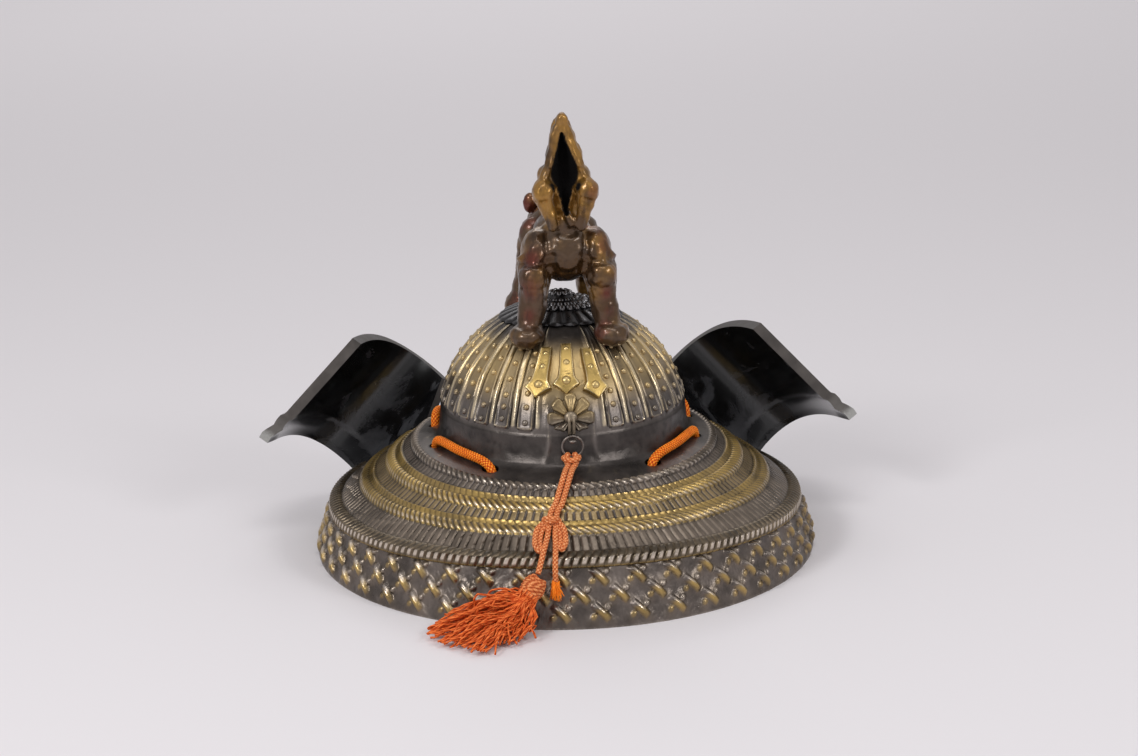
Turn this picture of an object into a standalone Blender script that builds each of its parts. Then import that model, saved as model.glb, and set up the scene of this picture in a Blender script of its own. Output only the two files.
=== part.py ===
"""Kabuto helmet ornament in cast metal, with a shishi figure on its crown, chin cord and tassel.

Metres, +Z up. The front faces -Y and the back +Y. Every piece is placed in a plan centred on
the bowl and carried by one empty, which moves that plan so that the world origin lies under
the middle of the rigid pieces.
"""

import math

import bmesh
import bpy
from mathutils import Matrix, Vector

MM = 0.001
GAP = 0.3 * MM
WELD = 1e-6

# Bowl
BOWL_HALF_WIDTH = 57.8 * MM
BOWL_HALF_LENGTH = 66.0 * MM
BOWL_RISE = 50.0 * MM
BOWL_CENTRE_Z = 66.0 * MM
BOWL_WALL = 4.0 * MM
RIB_PROUD = 0.9 * MM
RIB_END_Z = 71.0 * MM
PANEL_COUNT = 28
PLAIN_FIELD_HALF_ANGLE = math.radians(15.5)
CROWN_HOLE_RADIUS = 9.0 * MM

# Flare, where the bowl turns out over the neck guard
FLARE_TOP_Z = 69.0 * MM
FLARE_EDGE_Z = 53.0 * MM
FLARE_HALF_WIDTH = 68.6 * MM
FLARE_BACK = 85.0 * MM
FLARE_FRONT = 76.0 * MM
FLARE_WALL = 3.4 * MM
CORD_HOLE_RADIUS = 3.7 * MM

# Neck guard
GUARD_WALL = 4.0 * MM
GUARD_END_ANGLE = math.radians(117.5)
RIDGE_HALF_WIDTH = 110.0 * MM
RIDGE_HALF_LENGTH = 119.0 * MM
RIDGE_SIDE_Z = 23.4 * MM
RIDGE_BACK_Z = 29.0 * MM
RIM_HALF_WIDTH = 117.7 * MM
RIM_HALF_LENGTH = 128.0 * MM
ROPE_PROUD = 1.3 * MM
LATTICE_PROUD = 1.3 * MM
LATTICE_PITCH = 17.0 * MM
LEDGE_REACH = 2.0 * MM
LEDGE_DEPTH = 2.5 * MM

# Turnbacks
TURNBACK_WALL = 5.0 * MM
TURNBACK_LENGTH = 64.5 * MM
TURNBACK_INSET = 4.85 * MM
TURNBACK_RISE = 13.0 * MM
TURNBACK_STEP = 1.2 * MM
TURNBACK_SPREAD = 46.9 * MM
TURNBACK_DEPTH = 73.0 * MM
SEAT_TOP_SHARE = 0.12
SEAT_FOOT_SHARE = 0.97

# Peak over the face
PEAK_REACH = 98.0 * MM
PEAK_HALF_ANGLE = math.radians(45.0)
PEAK_DROP = 6.0 * MM
PEAK_WALL = 3.0 * MM
PEAK_END_REACH = 2.0 * MM
PEAK_STATIONS = 11

# Fittings on the bowl
CROWN_ROSETTE_RADIUS = 28.5 * MM
CROWN_CAP_PROUD = 6.0 * MM
CROWN_STEM_PLAY = 2.4 * MM
CROWN_STATIONS = 14
PLATE_PROUD = 1.2 * MM
PLATE_SHOULDER = 6.0 * MM
REAR_ROSETTE_RADIUS = 10.4 * MM
REAR_ROSETTE_Z = 77.0 * MM
REAR_ROSETTE_PROUD = 1.6 * MM
PETAL_COUNT = 8
LOWER_PETAL_SHARE = 0.5
PETAL_NOTCH_SHARE = 0.86
RING_RADIUS = 4.75 * MM
RING_WIRE_RADIUS = 0.5 * MM
RING_CENTRE_Z = 66.3 * MM
RING_STATIONS = 14
STAPLE_WIRE_RADIUS = 0.7 * MM
STAPLE_HALF_WIDTH = 1.3 * MM
RING_STAND_OFF = 3.0 * MM

# Figure
FIGURE_MODULE = 100.0 * MM
FIGURE_OFFSET_X = -2.0 * MM
FIGURE_VOXEL = 1.3 * MM
FIGURE_KEEP = 0.040

# Cords
CHIN_CORD_RADIUS = 2.3 * MM
TASSEL_CORD_RADIUS = 1.3 * MM
CORD_SIDES_STEP = 2
KNOT_LOOP_RADIUS = 1.9 * MM
CHIN_CORD_STEP = 12.0 * MM
TASSEL_CORD_STEP = 5.0 * MM
TASSEL_LOCK_STEP = 15.0 * MM
LOCK_ROOT_RADIUS = 2.6 * MM
LOCK_TIP_RADIUS = 1.2 * MM
LOCK_SIDES = 5

UP = Vector((0.0, 0.0, 1.0))
PLAN_SHIFT_Y = (PEAK_REACH - RIM_HALF_LENGTH) / 2
CROWN_Z = BOWL_CENTRE_Z + BOWL_RISE
FIGURE_UNIT = FIGURE_MODULE / 100


def clear_scene():
    """Remove every object of the open scene."""
    for obj in list(bpy.data.objects):
        bpy.data.objects.remove(obj, do_unlink=True)


def new_collection(name, hidden=False):
    """Add a collection to the scene."""
    collection = bpy.data.collections.new(name)
    collection.hide_render = hidden
    bpy.context.scene.collection.children.link(collection)
    return collection


def new_material(name, colour, roughness, metallic):
    """Make a Principled BSDF material of one colour."""
    material = bpy.data.materials.new(name)
    material.use_nodes = True
    shader = material.node_tree.nodes["Principled BSDF"]
    shader.inputs["Base Color"].default_value = (*colour, 1.0)
    shader.inputs["Roughness"].default_value = roughness
    shader.inputs["Metallic"].default_value = metallic
    material.diffuse_color = (*colour, 1.0)
    return material


clear_scene()
PARTS = new_collection("kabuto_helmet")
CUTTERS = new_collection("cutters", hidden=True)
FRAME = bpy.data.objects.new("plan_centre", None)
FRAME.location = (0.0, PLAN_SHIFT_Y, 0.0)
PARTS.objects.link(FRAME)

IRON = new_material("aged_iron", (0.075, 0.068, 0.060), 0.42, 0.85)
OLIVE_BRASS = new_material("olive_brass", (0.27, 0.21, 0.09), 0.38, 0.90)
GILT = new_material("gilt", (0.62, 0.45, 0.13), 0.32, 1.0)
LACQUER = new_material("black_lacquer", (0.012, 0.012, 0.014), 0.18, 0.0)
GLAZED_BRONZE = new_material("glazed_bronze", (0.20, 0.10, 0.035), 0.22, 0.75)
STEEL = new_material("dark_steel", (0.22, 0.19, 0.17), 0.35, 1.0)
ORANGE_BRAID = new_material("orange_braid", (0.85, 0.19, 0.03), 0.75, 0.0)
SALMON_CORD = new_material("salmon_cord", (0.75, 0.20, 0.08), 0.75, 0.0)


def add_mesh_object(name, mesh, material, collection=PARTS):
    """Link a mesh as a named object under the plan's empty."""
    obj = bpy.data.objects.new(name, mesh)
    obj.parent = FRAME
    mesh.materials.clear()
    mesh.materials.append(material)
    collection.objects.link(obj)
    if collection is CUTTERS:
        obj.hide_render = True
        obj.display_type = "WIRE"
    else:
        mesh.shade_smooth()
        mesh.set_sharp_from_angle(angle=math.radians(35.0))
    return obj


def mesh_from(name, bm):
    """Write a bmesh with outward faces to a new mesh."""
    bmesh.ops.recalc_face_normals(bm, faces=bm.faces)
    mesh = bpy.data.meshes.new(name)
    bm.to_mesh(mesh)
    bm.free()
    return mesh


def loft(name, loops, material, ring=False, collection=PARTS):
    """Skin closed loops of equal length; a ring joins the last loop to the first."""
    bm = bmesh.new()
    rows = [[bm.verts.new(point) for point in loop] for loop in loops]
    following = rows[1:] + rows[:1] if ring else rows[1:]
    for row, after in zip(rows, following):
        for index in range(len(row)):
            beside = (index + 1) % len(row)
            bm.faces.new((row[index], row[beside], after[beside], after[index]))
    if not ring:
        bm.faces.new(rows[0])
        bm.faces.new(rows[-1])
    bmesh.ops.remove_doubles(bm, verts=bm.verts, dist=WELD)
    return add_mesh_object(name, mesh_from(name, bm), material, collection)


def tube(name, points, radius, material, cyclic=False, sides_step=CORD_SIDES_STEP):
    """A round tube along points, as a POLY curve with filled caps."""
    curve = bpy.data.curves.new(name, "CURVE")
    curve.dimensions = "3D"
    curve.bevel_depth = radius
    curve.bevel_resolution = sides_step
    curve.use_fill_caps = True
    spline = curve.splines.new("POLY")
    spline.points.add(len(points) - 1)
    for target, point in zip(spline.points, points):
        target.co = (*point, 1.0)
    spline.use_cyclic_u = cyclic
    curve.materials.append(material)
    obj = bpy.data.objects.new(name, curve)
    obj.parent = FRAME
    PARTS.objects.link(obj)
    return obj


def smooth_route(points, step):
    """Points of a smooth curve through hand-placed route points, about a step apart."""
    ends = [points[0] * 2 - points[1], *points, points[-1] * 2 - points[-2]]
    path = []
    for before, start, end, after in zip(ends, ends[1:], ends[2:], ends[3:]):
        count = max(1, round((end - start).length / step))
        for part in range(count):
            t = part / count
            bend = start * 2 + (end - before) * t
            bend += (before * 2 - start * 5 + end * 4 - after) * t**2
            bend += (start * 3 - before - end * 3 + after) * t**3
            path.append(bend / 2)
    path.append(points[-1])
    return path


def cut(obj, cutter):
    """Take a cutter's volume out of an object."""
    modifier = obj.modifiers.new("cut " + cutter.name, "BOOLEAN")
    modifier.operation = "DIFFERENCE"
    modifier.object = cutter
    return modifier


def on_ellipse(angle, half_width, half_length, z):
    """A point of a level ellipse; the angle runs from the back towards the wearer's left."""
    return Vector((half_width * math.sin(angle), half_length * math.cos(angle), z))


def flare_length(angle, back, front):
    """The fore-and-aft half length on this side of the bowl."""
    return back if math.cos(angle) >= 0 else front


def dome_point(angle, latitude, proud=0.0):
    """A point of the bowl's ellipsoid, or proud of it by a distance."""
    flat = math.cos(latitude)
    normal = Vector(
        (
            flat * math.sin(angle) / BOWL_HALF_WIDTH,
            flat * math.cos(angle) / BOWL_HALF_LENGTH,
            math.sin(latitude) / BOWL_RISE,
        )
    ).normalized()
    base = Vector(
        (
            BOWL_HALF_WIDTH * flat * math.sin(angle),
            BOWL_HALF_LENGTH * flat * math.cos(angle),
            BOWL_CENTRE_Z + BOWL_RISE * math.sin(latitude),
        )
    )
    return base + normal * proud


def dome_height(x, y):
    """Height of the bowl's outer face over a point of the plan."""
    inside = 1 - (x / BOWL_HALF_WIDTH) ** 2 - (y / BOWL_HALF_LENGTH) ** 2
    return BOWL_CENTRE_Z + BOWL_RISE * math.sqrt(max(inside, 0.0))


def dome_at(x, z, proud=0.0):
    """A point of the back of the bowl found from its x and height."""
    latitude = math.asin((z - BOWL_CENTRE_Z) / BOWL_RISE)
    angle = math.asin(x / (BOWL_HALF_WIDTH * math.cos(latitude)))
    return dome_point(angle, latitude, proud)


# Flare sections from the foot of the band to the edge, as shares of its fall and of its spread.
FLARE_SECTIONS = (
    # fall, side, back
    (0.00, 0.00, 0.00),
    (0.50, 0.05, 0.04),
    (0.77, 0.13, 0.15),
    (0.88, 0.28, 0.32),
    (0.95, 0.58, 0.65),
    (1.00, 1.00, 1.00),
)


def flare_point(angle, section, drop=0.0):
    """A point of the flare's upper face, or below it by a drop."""
    fall, side, back = section
    share = side + (back - side) * math.cos(angle) ** 2
    z = FLARE_TOP_Z + (FLARE_EDGE_Z - FLARE_TOP_Z) * fall
    top = dome_point(angle, math.asin((FLARE_TOP_Z - BOWL_CENTRE_Z) / BOWL_RISE))
    length = flare_length(angle, FLARE_BACK, FLARE_FRONT) - GAP
    edge = on_ellipse(angle, FLARE_HALF_WIDTH - GAP, length, z)
    point = top.lerp(edge, share)
    point.z = z - drop
    return point


PLAIN_LATITUDE = math.radians(60)
RIBBED_LATITUDES = tuple(math.radians(value) for value in (54, 41, 28, 15))
BOWL_INNER_LATITUDES = tuple(math.radians(value) for value in (6, 40))


def bowl_angles():
    """Angles of the bowl's stations, each with the latitude at which its rib begins, if it has one."""
    field = PLAIN_FIELD_HALF_ANGLE
    pitch = (2 * math.pi - 2 * field) / PANEL_COUNT
    stations = [(0.0, None), (field / 2, None), (field, RIBBED_LATITUDES[-1])]
    for panel in range(PANEL_COUNT):
        stations.append((field + pitch * (panel + 0.5), None))
        stations.append((field + pitch * (panel + 1), RIBBED_LATITUDES[0]))
    stations[-1] = (2 * math.pi - field, RIBBED_LATITUDES[-1])
    stations.append((2 * math.pi - field / 2, None))
    return stations


def bowl_section(angle, rib_top):
    """The closed section of the bowl's wall at one angle, from the crown hole round the flare."""
    crown = math.acos(CROWN_HOLE_RADIUS / BOWL_HALF_LENGTH)
    rib_end = math.asin((RIB_END_Z - BOWL_CENTRE_Z) / BOWL_RISE)
    outer = [dome_point(angle, latitude) for latitude in (crown, PLAIN_LATITUDE)]
    for latitude in (*RIBBED_LATITUDES, rib_end):
        ribbed = rib_top is not None and latitude <= rib_top
        outer.append(dome_point(angle, latitude, RIB_PROUD if ribbed else 0.0))
    outer += [flare_point(angle, section) for section in FLARE_SECTIONS]
    under = [flare_point(angle, section, FLARE_WALL) for section in reversed(FLARE_SECTIONS[2:])]
    band = flare_point(angle, FLARE_SECTIONS[1])
    inward = Vector((band.x, band.y, 0.0)).normalized() * BOWL_WALL
    under.append(band - inward)
    inner = [dome_point(angle, latitude, -BOWL_WALL) for latitude in BOWL_INNER_LATITUDES]
    inner.append(dome_point(angle, crown, -BOWL_WALL))
    return outer + under + inner


CORD_HOLES = (
    # x, y of the chin cord's holes on the wearer's left, back to front
    (36.0, 62.6),
    (60.6, 17.4),
    (60.1, -16.5),
    (55.5, -33.5),
)


def make_bowl():
    """The ribbed bowl with its band, flare and the chin cord's eight holes."""
    sections = [bowl_section(angle, rib_top) for angle, rib_top in bowl_angles()]
    bowl = loft("bowl", sections, OLIVE_BRASS, ring=True)
    bm = bmesh.new()
    for side in (1, -1):
        for x, y in CORD_HOLES:
            place = Matrix.Translation((side * x * MM, y * MM, FLARE_EDGE_Z))
            bmesh.ops.create_cone(
                bm,
                cap_ends=True,
                segments=10,
                radius1=CORD_HOLE_RADIUS,
                radius2=CORD_HOLE_RADIUS,
                depth=FLARE_TOP_Z - FLARE_EDGE_Z,
                matrix=place,
            )
    holes = add_mesh_object("cord_holes", mesh_from("cord_holes", bm), IRON, CUTTERS)
    cut(bowl, holes)
    return bowl


def guard_top(angle, z):
    """The inner edge of the neck guard's top rope, which rings the flare."""
    length = flare_length(angle, FLARE_BACK, FLARE_FRONT)
    return on_ellipse(angle, FLARE_HALF_WIDTH, length, z)


def ridge_point(angle):
    """The corner between the sloping lames and the apron."""
    z = RIDGE_SIDE_Z + (RIDGE_BACK_Z - RIDGE_SIDE_Z) * max(math.cos(angle), 0.0) ** 2
    return on_ellipse(angle, RIDGE_HALF_WIDTH, RIDGE_HALF_LENGTH, z)


def slope_point(angle, share, proud=0.0):
    """A point of the sloping lames, from the top rope at 0 to the ridge at 1."""
    top = guard_top(angle, FLARE_EDGE_Z)
    fall = ridge_point(angle) - top
    along = fall.normalized()
    normal = (UP - along * UP.dot(along)).normalized()
    return top + fall * share + normal * proud


def apron_point(angle, share, proud=0.0):
    """A point of the upright apron, from the ridge at 0 to the rim at 1."""
    ridge = ridge_point(angle)
    fall = on_ellipse(angle, RIM_HALF_WIDTH, RIM_HALF_LENGTH, 0.0) - ridge
    along = fall.normalized()
    level = Vector((ridge.x, ridge.y, 0.0)).normalized()
    normal = (level - along * level.dot(along)).normalized()
    return ridge + fall * share + normal * proud


# Rings of the lames down the slope, each with its height as a share of a rope's.
SLOPE_SECTIONS = (
    # share of the slope, height
    (0.000, 0.0),
    (0.020, 1.0),
    (0.060, 1.0),
    (0.080, 0.0),
    (0.185, 0.4),
    (0.275, 0.4),
    (0.295, 1.0),
    (0.355, 1.0),
    (0.380, 0.0),
    (0.505, 0.4),
    (0.575, 0.4),
    (0.595, 1.0),
    (0.655, 1.0),
    (0.680, 0.0),
    (0.910, 0.0),
    (0.930, 1.0),
    (0.985, 1.0),
)
# Rows of the apron's crossing straps, as shares of its height, and where its plain edges start.
LATTICE_ROWS = (0.20, 0.48, 0.76)
APRON_TOP_SHARE = 0.04
APRON_FOOT_SHARE = 0.95
# Where the guard's inner face bends, as a share of the slope, and its corner's drop in walls.
GUARD_BEND_SHARE = 0.45
GUARD_CORNER_DROP = 0.7


def guard_section(angle, column):
    """The closed section of the neck guard at one angle; the column numbers the lattice."""
    outer = [slope_point(angle, share, height * ROPE_PROUD) for share, height in SLOPE_SECTIONS]
    outer.append(apron_point(angle, APRON_TOP_SHARE))
    for row, share in enumerate(LATTICE_ROWS):
        crossing = (row + column) % 2 == 0
        outer.append(apron_point(angle, share, LATTICE_PROUD if crossing else 0.0))
    rim = on_ellipse(angle, RIM_HALF_WIDTH, RIM_HALF_LENGTH, 0.0)
    inward = Vector((rim.x, rim.y, 0.0)).normalized() * GUARD_WALL
    outer += [apron_point(angle, APRON_FOOT_SHARE), rim]
    corner = ridge_point(angle) - inward
    corner.z -= GUARD_WALL * GUARD_CORNER_DROP
    ledge_z = FLARE_EDGE_Z - FLARE_WALL - GAP
    ledge_top = guard_top(angle, ledge_z)
    ledge_in = ledge_top - Vector((ledge_top.x, ledge_top.y, 0.0)).normalized() * LEDGE_REACH
    ledge_foot = ledge_in - UP * LEDGE_DEPTH
    inner = [rim - inward, corner, slope_point(angle, GUARD_BEND_SHARE, -GUARD_WALL)]
    inner += [ledge_foot, ledge_in, ledge_top]
    return outer + inner


FINE_STEPS = 720


def guard_angles():
    """Angles at even steps of half a lattice pitch along the rim."""
    steps = [GUARD_END_ANGLE * (2 * index / FINE_STEPS - 1) for index in range(FINE_STEPS + 1)]
    rim = [on_ellipse(angle, RIM_HALF_WIDTH, RIM_HALF_LENGTH, 0.0) for angle in steps]
    runs = [0.0]
    for start, end in zip(rim, rim[1:]):
        runs.append(runs[-1] + (end - start).length)
    count = 2 * round(runs[-1] / LATTICE_PITCH)
    angles = []
    for column in range(count + 1):
        wanted = runs[-1] * column / count
        place = min(range(len(runs)), key=lambda index: abs(runs[index] - wanted))
        angles.append(steps[place])
    return angles


def make_neck_guard():
    """The roped lames and the lattice apron, open at the face."""
    sections = [guard_section(angle, column) for column, angle in enumerate(guard_angles())]
    return loft("neck_guard", sections, IRON)


# Sections of a turnback from its root to its outer edge, as shares of its spread and depth.
TURNBACK_SECTIONS = (
    # spread, depth (1 is furthest forward)
    (0.00, 0.830),
    (0.10, 0.905),
    (0.20, 0.955),
    (0.30, 0.988),
    (0.40, 1.000),
    (0.50, 0.990),
    (0.60, 0.955),
    (0.70, 0.885),
    (0.79, 0.785),
    (0.87, 0.660),
    (0.94, 0.515),
    (1.00, 0.360),
)
# Rows down a turnback's face, as shares of its length, with the set-back of the lower lame.
TURNBACK_ROWS = (
    # share, set back
    (0.00, 0.0),
    (0.77, 0.0),
    (0.80, 1.0),
    (0.95, 1.0),
    (1.00, 0.4),
)
# Sections over which the lower lame's step grows from nothing at the root.
STEP_EASE_SECTIONS = 4
RULING = Vector((0.685, 0.0, -0.728)).normalized()
SPREAD = Vector((0.817, 0.0, 0.577)).normalized()


SMALL_ANGLE = 0.01


def guard_run_at_end():
    """Length along the guard's top edge for each radian at its front end."""
    end = guard_top(GUARD_END_ANGLE, 0.0)
    return (guard_top(GUARD_END_ANGLE + SMALL_ANGLE, 0.0) - end).length / SMALL_ANGLE


def turnback_sections():
    """Closed sections of the wearer's left turnback, from the neck guard's end outwards."""
    inner_x = guard_top(GUARD_END_ANGLE, 0.0).x - TURNBACK_INSET
    root = Vector((inner_x, 0.0, FLARE_EDGE_Z + TURNBACK_RISE))
    line = []
    for spread, depth in TURNBACK_SECTIONS:
        line.append((spread * TURNBACK_SPREAD, -depth * TURNBACK_DEPTH))
    loops = []
    for index, (spread, y) in enumerate(line):
        before = line[max(index - 1, 0)]
        after = line[min(index + 1, len(line) - 1)]
        tangent = Vector((after[0] - before[0], after[1] - before[1])).normalized()
        away = SPREAD * tangent.y + Vector((0.0, -tangent.x, 0.0))
        ease = min(1.0, index / STEP_EASE_SECTIONS)
        face = []
        for share, back in TURNBACK_ROWS:
            point = root + SPREAD * spread + RULING * (TURNBACK_LENGTH * share)
            point.y = y
            face.append(point + away * (TURNBACK_STEP * back * ease))
        loops.append(face + [point + away * TURNBACK_WALL for point in reversed(face)])
    end = GUARD_END_ANGLE
    clear = GAP / guard_run_at_end()
    run = SEAT_FOOT_SHARE - SEAT_TOP_SHARE
    shares = [SEAT_TOP_SHARE + run * share for share, _back in TURNBACK_ROWS]
    over = [slope_point(end + clear, share) for share in shares]
    under = [slope_point(end + clear, share, -GUARD_WALL) for share in reversed(shares)]
    return [over + under, *loops]


def make_turnbacks():
    """The two lacquered wings turned back from the front ends of the neck guard."""
    sections = turnback_sections()
    left = loft("turnback_left", sections, LACQUER)
    mirrored = [[Vector((-p.x, p.y, p.z)) for p in section] for section in sections]
    right = loft("turnback_right", mirrored, LACQUER)
    return left, right


# The peak's bend between its lap and its lip, as shares of its reach and of its drop.
PEAK_MIDDLE_REACH = 0.5
PEAK_MIDDLE_DROP = 0.3


def make_peak():
    """The plain peak, lapped over the front of the flare."""
    lap_sections = FLARE_SECTIONS[3:]
    loops = []
    for index in range(PEAK_STATIONS):
        turn = PEAK_HALF_ANGLE * (2 * index / (PEAK_STATIONS - 1) - 1)
        angle = math.pi + turn
        fade = math.cos(turn / PEAK_HALF_ANGLE * math.pi / 2) ** 0.5
        lap = [flare_point(angle, section) + UP * GAP for section in lap_sections]
        edge = lap[-1]
        level = Vector((edge.x, edge.y, 0.0)).normalized()
        reach = PEAK_END_REACH + (PEAK_REACH - FLARE_FRONT - PEAK_END_REACH) * fade
        middle = edge + level * (reach * PEAK_MIDDLE_REACH) - UP * (PEAK_DROP * PEAK_MIDDLE_DROP * fade)
        tip = edge + level * reach - UP * (PEAK_DROP * fade)
        under = [*lap, middle, tip]
        loops.append(under + [point + UP * PEAK_WALL for point in reversed(under)])
    return loft("peak", loops, IRON)


def dome_lathe(name, rows, stations, material):
    """Turn a profile of radius and height above the bowl about the upright axis."""
    sections = []
    for index in range(stations):
        angle = 2 * math.pi * index / stations
        section = []
        for radius, proud in rows:
            x = radius * math.sin(angle)
            y = radius * math.cos(angle)
            section.append(Vector((x, y, dome_height(x, y) + proud)))
        sections.append(section)
    return loft(name, sections, material, ring=True)


# Profile of the crown rosette, as shares of its radius and of its cap's height.
CROWN_PROFILE = (
    # radius, height
    (0.00, 1.00),
    (0.10, 0.95),
    (0.19, 0.70),
    (0.24, 0.38),
    (0.33, 0.52),
    (0.40, 0.30),
    (0.50, 0.38),
    (0.58, 0.20),
    (0.64, 0.24),
    (0.97, 0.20),
    (1.00, 0.10),
)
CROWN_UNDERSIDE = (1.00, 0.85, 0.70, 0.55, 0.40)


def make_crown_rosette():
    """The stepped rosette that closes the crown hole."""
    rows = [(share * CROWN_ROSETTE_RADIUS, height * CROWN_CAP_PROUD) for share, height in CROWN_PROFILE]
    rows += [(share * CROWN_ROSETTE_RADIUS, GAP) for share in CROWN_UNDERSIDE]
    stem = CROWN_HOLE_RADIUS - CROWN_STEM_PLAY
    rows += [(stem, GAP), (stem, -BOWL_WALL), (0.0, -BOWL_WALL)]
    return dome_lathe("crown_rosette", rows, CROWN_STATIONS, IRON)


# Half widths of a gilt plate from its top to its point, as shares of its height and shoulder.
PLATE_SECTIONS = (
    # share down, half width
    (0.00, 0.42),
    (0.20, 0.52),
    (0.45, 0.58),
    (0.70, 0.66),
    (0.79, 1.00),
    (0.84, 0.74),
    (0.91, 0.45),
    (1.00, 0.06),
)
# Places of the plates as shares of the bowl's half width and rise, with shares of the shoulder.
PLATES = (
    # name, x at the top and at the tip, height of the top and of the tip, shoulder
    ("gilt_plate_left", 0.152, 0.266, 0.766, 0.394, 0.967),
    ("gilt_plate_middle", 0.003, 0.028, 0.788, 0.424, 1.0),
    ("gilt_plate_right", -0.145, -0.221, 0.752, 0.376, 0.933),
)


def plate_loops(plate, grow=0.0):
    """Sections of one plate from its top to its point, or grown all round for a cutter."""
    _name, top_x, tip_x, top_z, tip_z, shoulder = plate
    loops = []
    for down, share in PLATE_SECTIONS:
        x = (top_x + (tip_x - top_x) * down) * BOWL_HALF_WIDTH
        z = BOWL_CENTRE_Z + (top_z + (tip_z - top_z) * down) * BOWL_RISE
        half = PLATE_SHOULDER * shoulder * share + grow
        across = (x - half, x, x + half)
        low = [dome_at(value, z, GAP - grow) for value in across]
        high = [dome_at(value, z, GAP + PLATE_PROUD + grow) for value in across]
        loops.append(low + high[::-1])
    return loops


def make_gilt_plates():
    """The three pointed plates on the back of the bowl."""
    for plate in PLATES:
        loft(plate[0], plate_loops(plate), GILT)


# Profile of the rear rosette, as shares of its radius and of its thickness.
REAR_ROSETTE_PROFILE = ((0.0, 2.1), (0.2, 1.9), (0.26, 0.9), (0.62, 1.1), (1.0, 0.7))
# Petals whose direction falls below this are the short lower ones.
LOWER_PETAL_COSINE = -0.5


def make_rear_rosette():
    """The petalled rosette with its boss, low on the back of the bowl."""
    centre = dome_at(0.0, REAR_ROSETTE_Z)
    normal = (dome_at(0.0, REAR_ROSETTE_Z, 1.0) - centre).normalized()
    across = Vector((1.0, 0.0, 0.0))
    rise = across.cross(normal)
    stations = 2 * PETAL_COUNT
    loops = []
    for index in range(stations):
        turn = 2 * math.pi * index / stations
        reach = REAR_ROSETTE_RADIUS * (1.0 if index % 2 == 0 else PETAL_NOTCH_SHARE)
        if math.cos(turn) < LOWER_PETAL_COSINE:
            reach *= LOWER_PETAL_SHARE
        direction = across * math.sin(turn) + rise * math.cos(turn)
        over = [centre + direction * (reach * share) for share, _height in REAR_ROSETTE_PROFILE]
        laid = []
        for point, (_share, height) in zip(over, REAR_ROSETTE_PROFILE):
            seat = dome_at(point.x, point.z, GAP + REAR_ROSETTE_PROUD * height)
            laid.append(seat)
        laid.append(dome_at(over[-1].x, over[-1].z, GAP))
        laid.append(dome_at(centre.x, centre.z, GAP))
        loops.append(laid)
    return loft("rear_rosette", loops, GILT, ring=True)


# Half width of the staple's nose, as a share of its legs' half width.
STAPLE_NOSE_SHARE = 0.6


def make_ring_and_staple():
    """The staple under the rosette and the thin ring that hangs in it."""
    band = flare_point(0.0, FLARE_SECTIONS[0])
    eye_z = RING_CENTRE_Z + RING_RADIUS - RING_WIRE_RADIUS - STAPLE_WIRE_RADIUS - 3 * GAP
    out = band.y + GAP + STAPLE_WIRE_RADIUS
    ring_y = out + RING_STAND_OFF
    nose = ring_y + 2 * STAPLE_WIRE_RADIUS
    bend = [
        Vector((-STAPLE_HALF_WIDTH, out, eye_z + STAPLE_WIRE_RADIUS)),
        Vector((-STAPLE_HALF_WIDTH, ring_y, eye_z)),
        Vector((-STAPLE_HALF_WIDTH * STAPLE_NOSE_SHARE, nose, eye_z)),
        Vector((STAPLE_HALF_WIDTH * STAPLE_NOSE_SHARE, nose, eye_z)),
        Vector((STAPLE_HALF_WIDTH, ring_y, eye_z)),
        Vector((STAPLE_HALF_WIDTH, out, eye_z + STAPLE_WIRE_RADIUS)),
    ]
    tube("ring_staple", bend, STAPLE_WIRE_RADIUS, STEEL)
    circle = []
    for index in range(RING_STATIONS):
        turn = 2 * math.pi * index / RING_STATIONS
        x = RING_RADIUS * math.sin(turn)
        z = RING_CENTRE_Z - GAP + RING_RADIUS * math.cos(turn)
        circle.append(Vector((x, ring_y, z)))
    return tube("cord_ring", circle, RING_WIRE_RADIUS, STEEL, cyclic=True, sides_step=1)


def mesh_tube(name, points, radii, material, sides=6, collection=PARTS):
    """A tube of changing radius along points, as a mesh that a Boolean can join."""
    loops = []
    across = None
    for index, point in enumerate(points):
        after = points[min(index + 1, len(points) - 1)]
        before = points[max(index - 1, 0)]
        along = (after - before).normalized()
        start = across or (UP if abs(along.z) < 0.9 else Vector((1.0, 0.0, 0.0)))
        across = (start - along * start.dot(along)).normalized()
        beside = along.cross(across)
        turns = [2 * math.pi * side / sides for side in range(sides)]
        loops.append([point + (across * math.cos(t) + beside * math.sin(t)) * radii[index] for t in turns])
    return loft(name, loops, material, collection=collection)


def ball(name, centre, radii, material, collection=PARTS):
    """An ellipsoid of a centre and three half sizes in millimetres."""
    bm = bmesh.new()
    add_ball(bm, centre, radii, MM, segments=10)
    return add_mesh_object(name, mesh_from(name, bm), material, collection)


def fuse(obj, others):
    """Join hidden shapes to an object."""
    for other in others:
        modifier = obj.modifiers.new("join " + other.name, "BOOLEAN")
        modifier.operation = "UNION"
        modifier.object = other


def add_ball(bm, centre, radii, unit, segments=12):
    """Add an ellipsoid of a centre and three half sizes, in a unit of length."""
    scale = Matrix.Diagonal((*(value * unit for value in radii), 1.0))
    place = Matrix.Translation(Vector(centre) * unit) @ scale
    bmesh.ops.create_uvsphere(bm, u_segments=segments, v_segments=segments // 2 + 2, radius=1.0, matrix=place)


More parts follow.
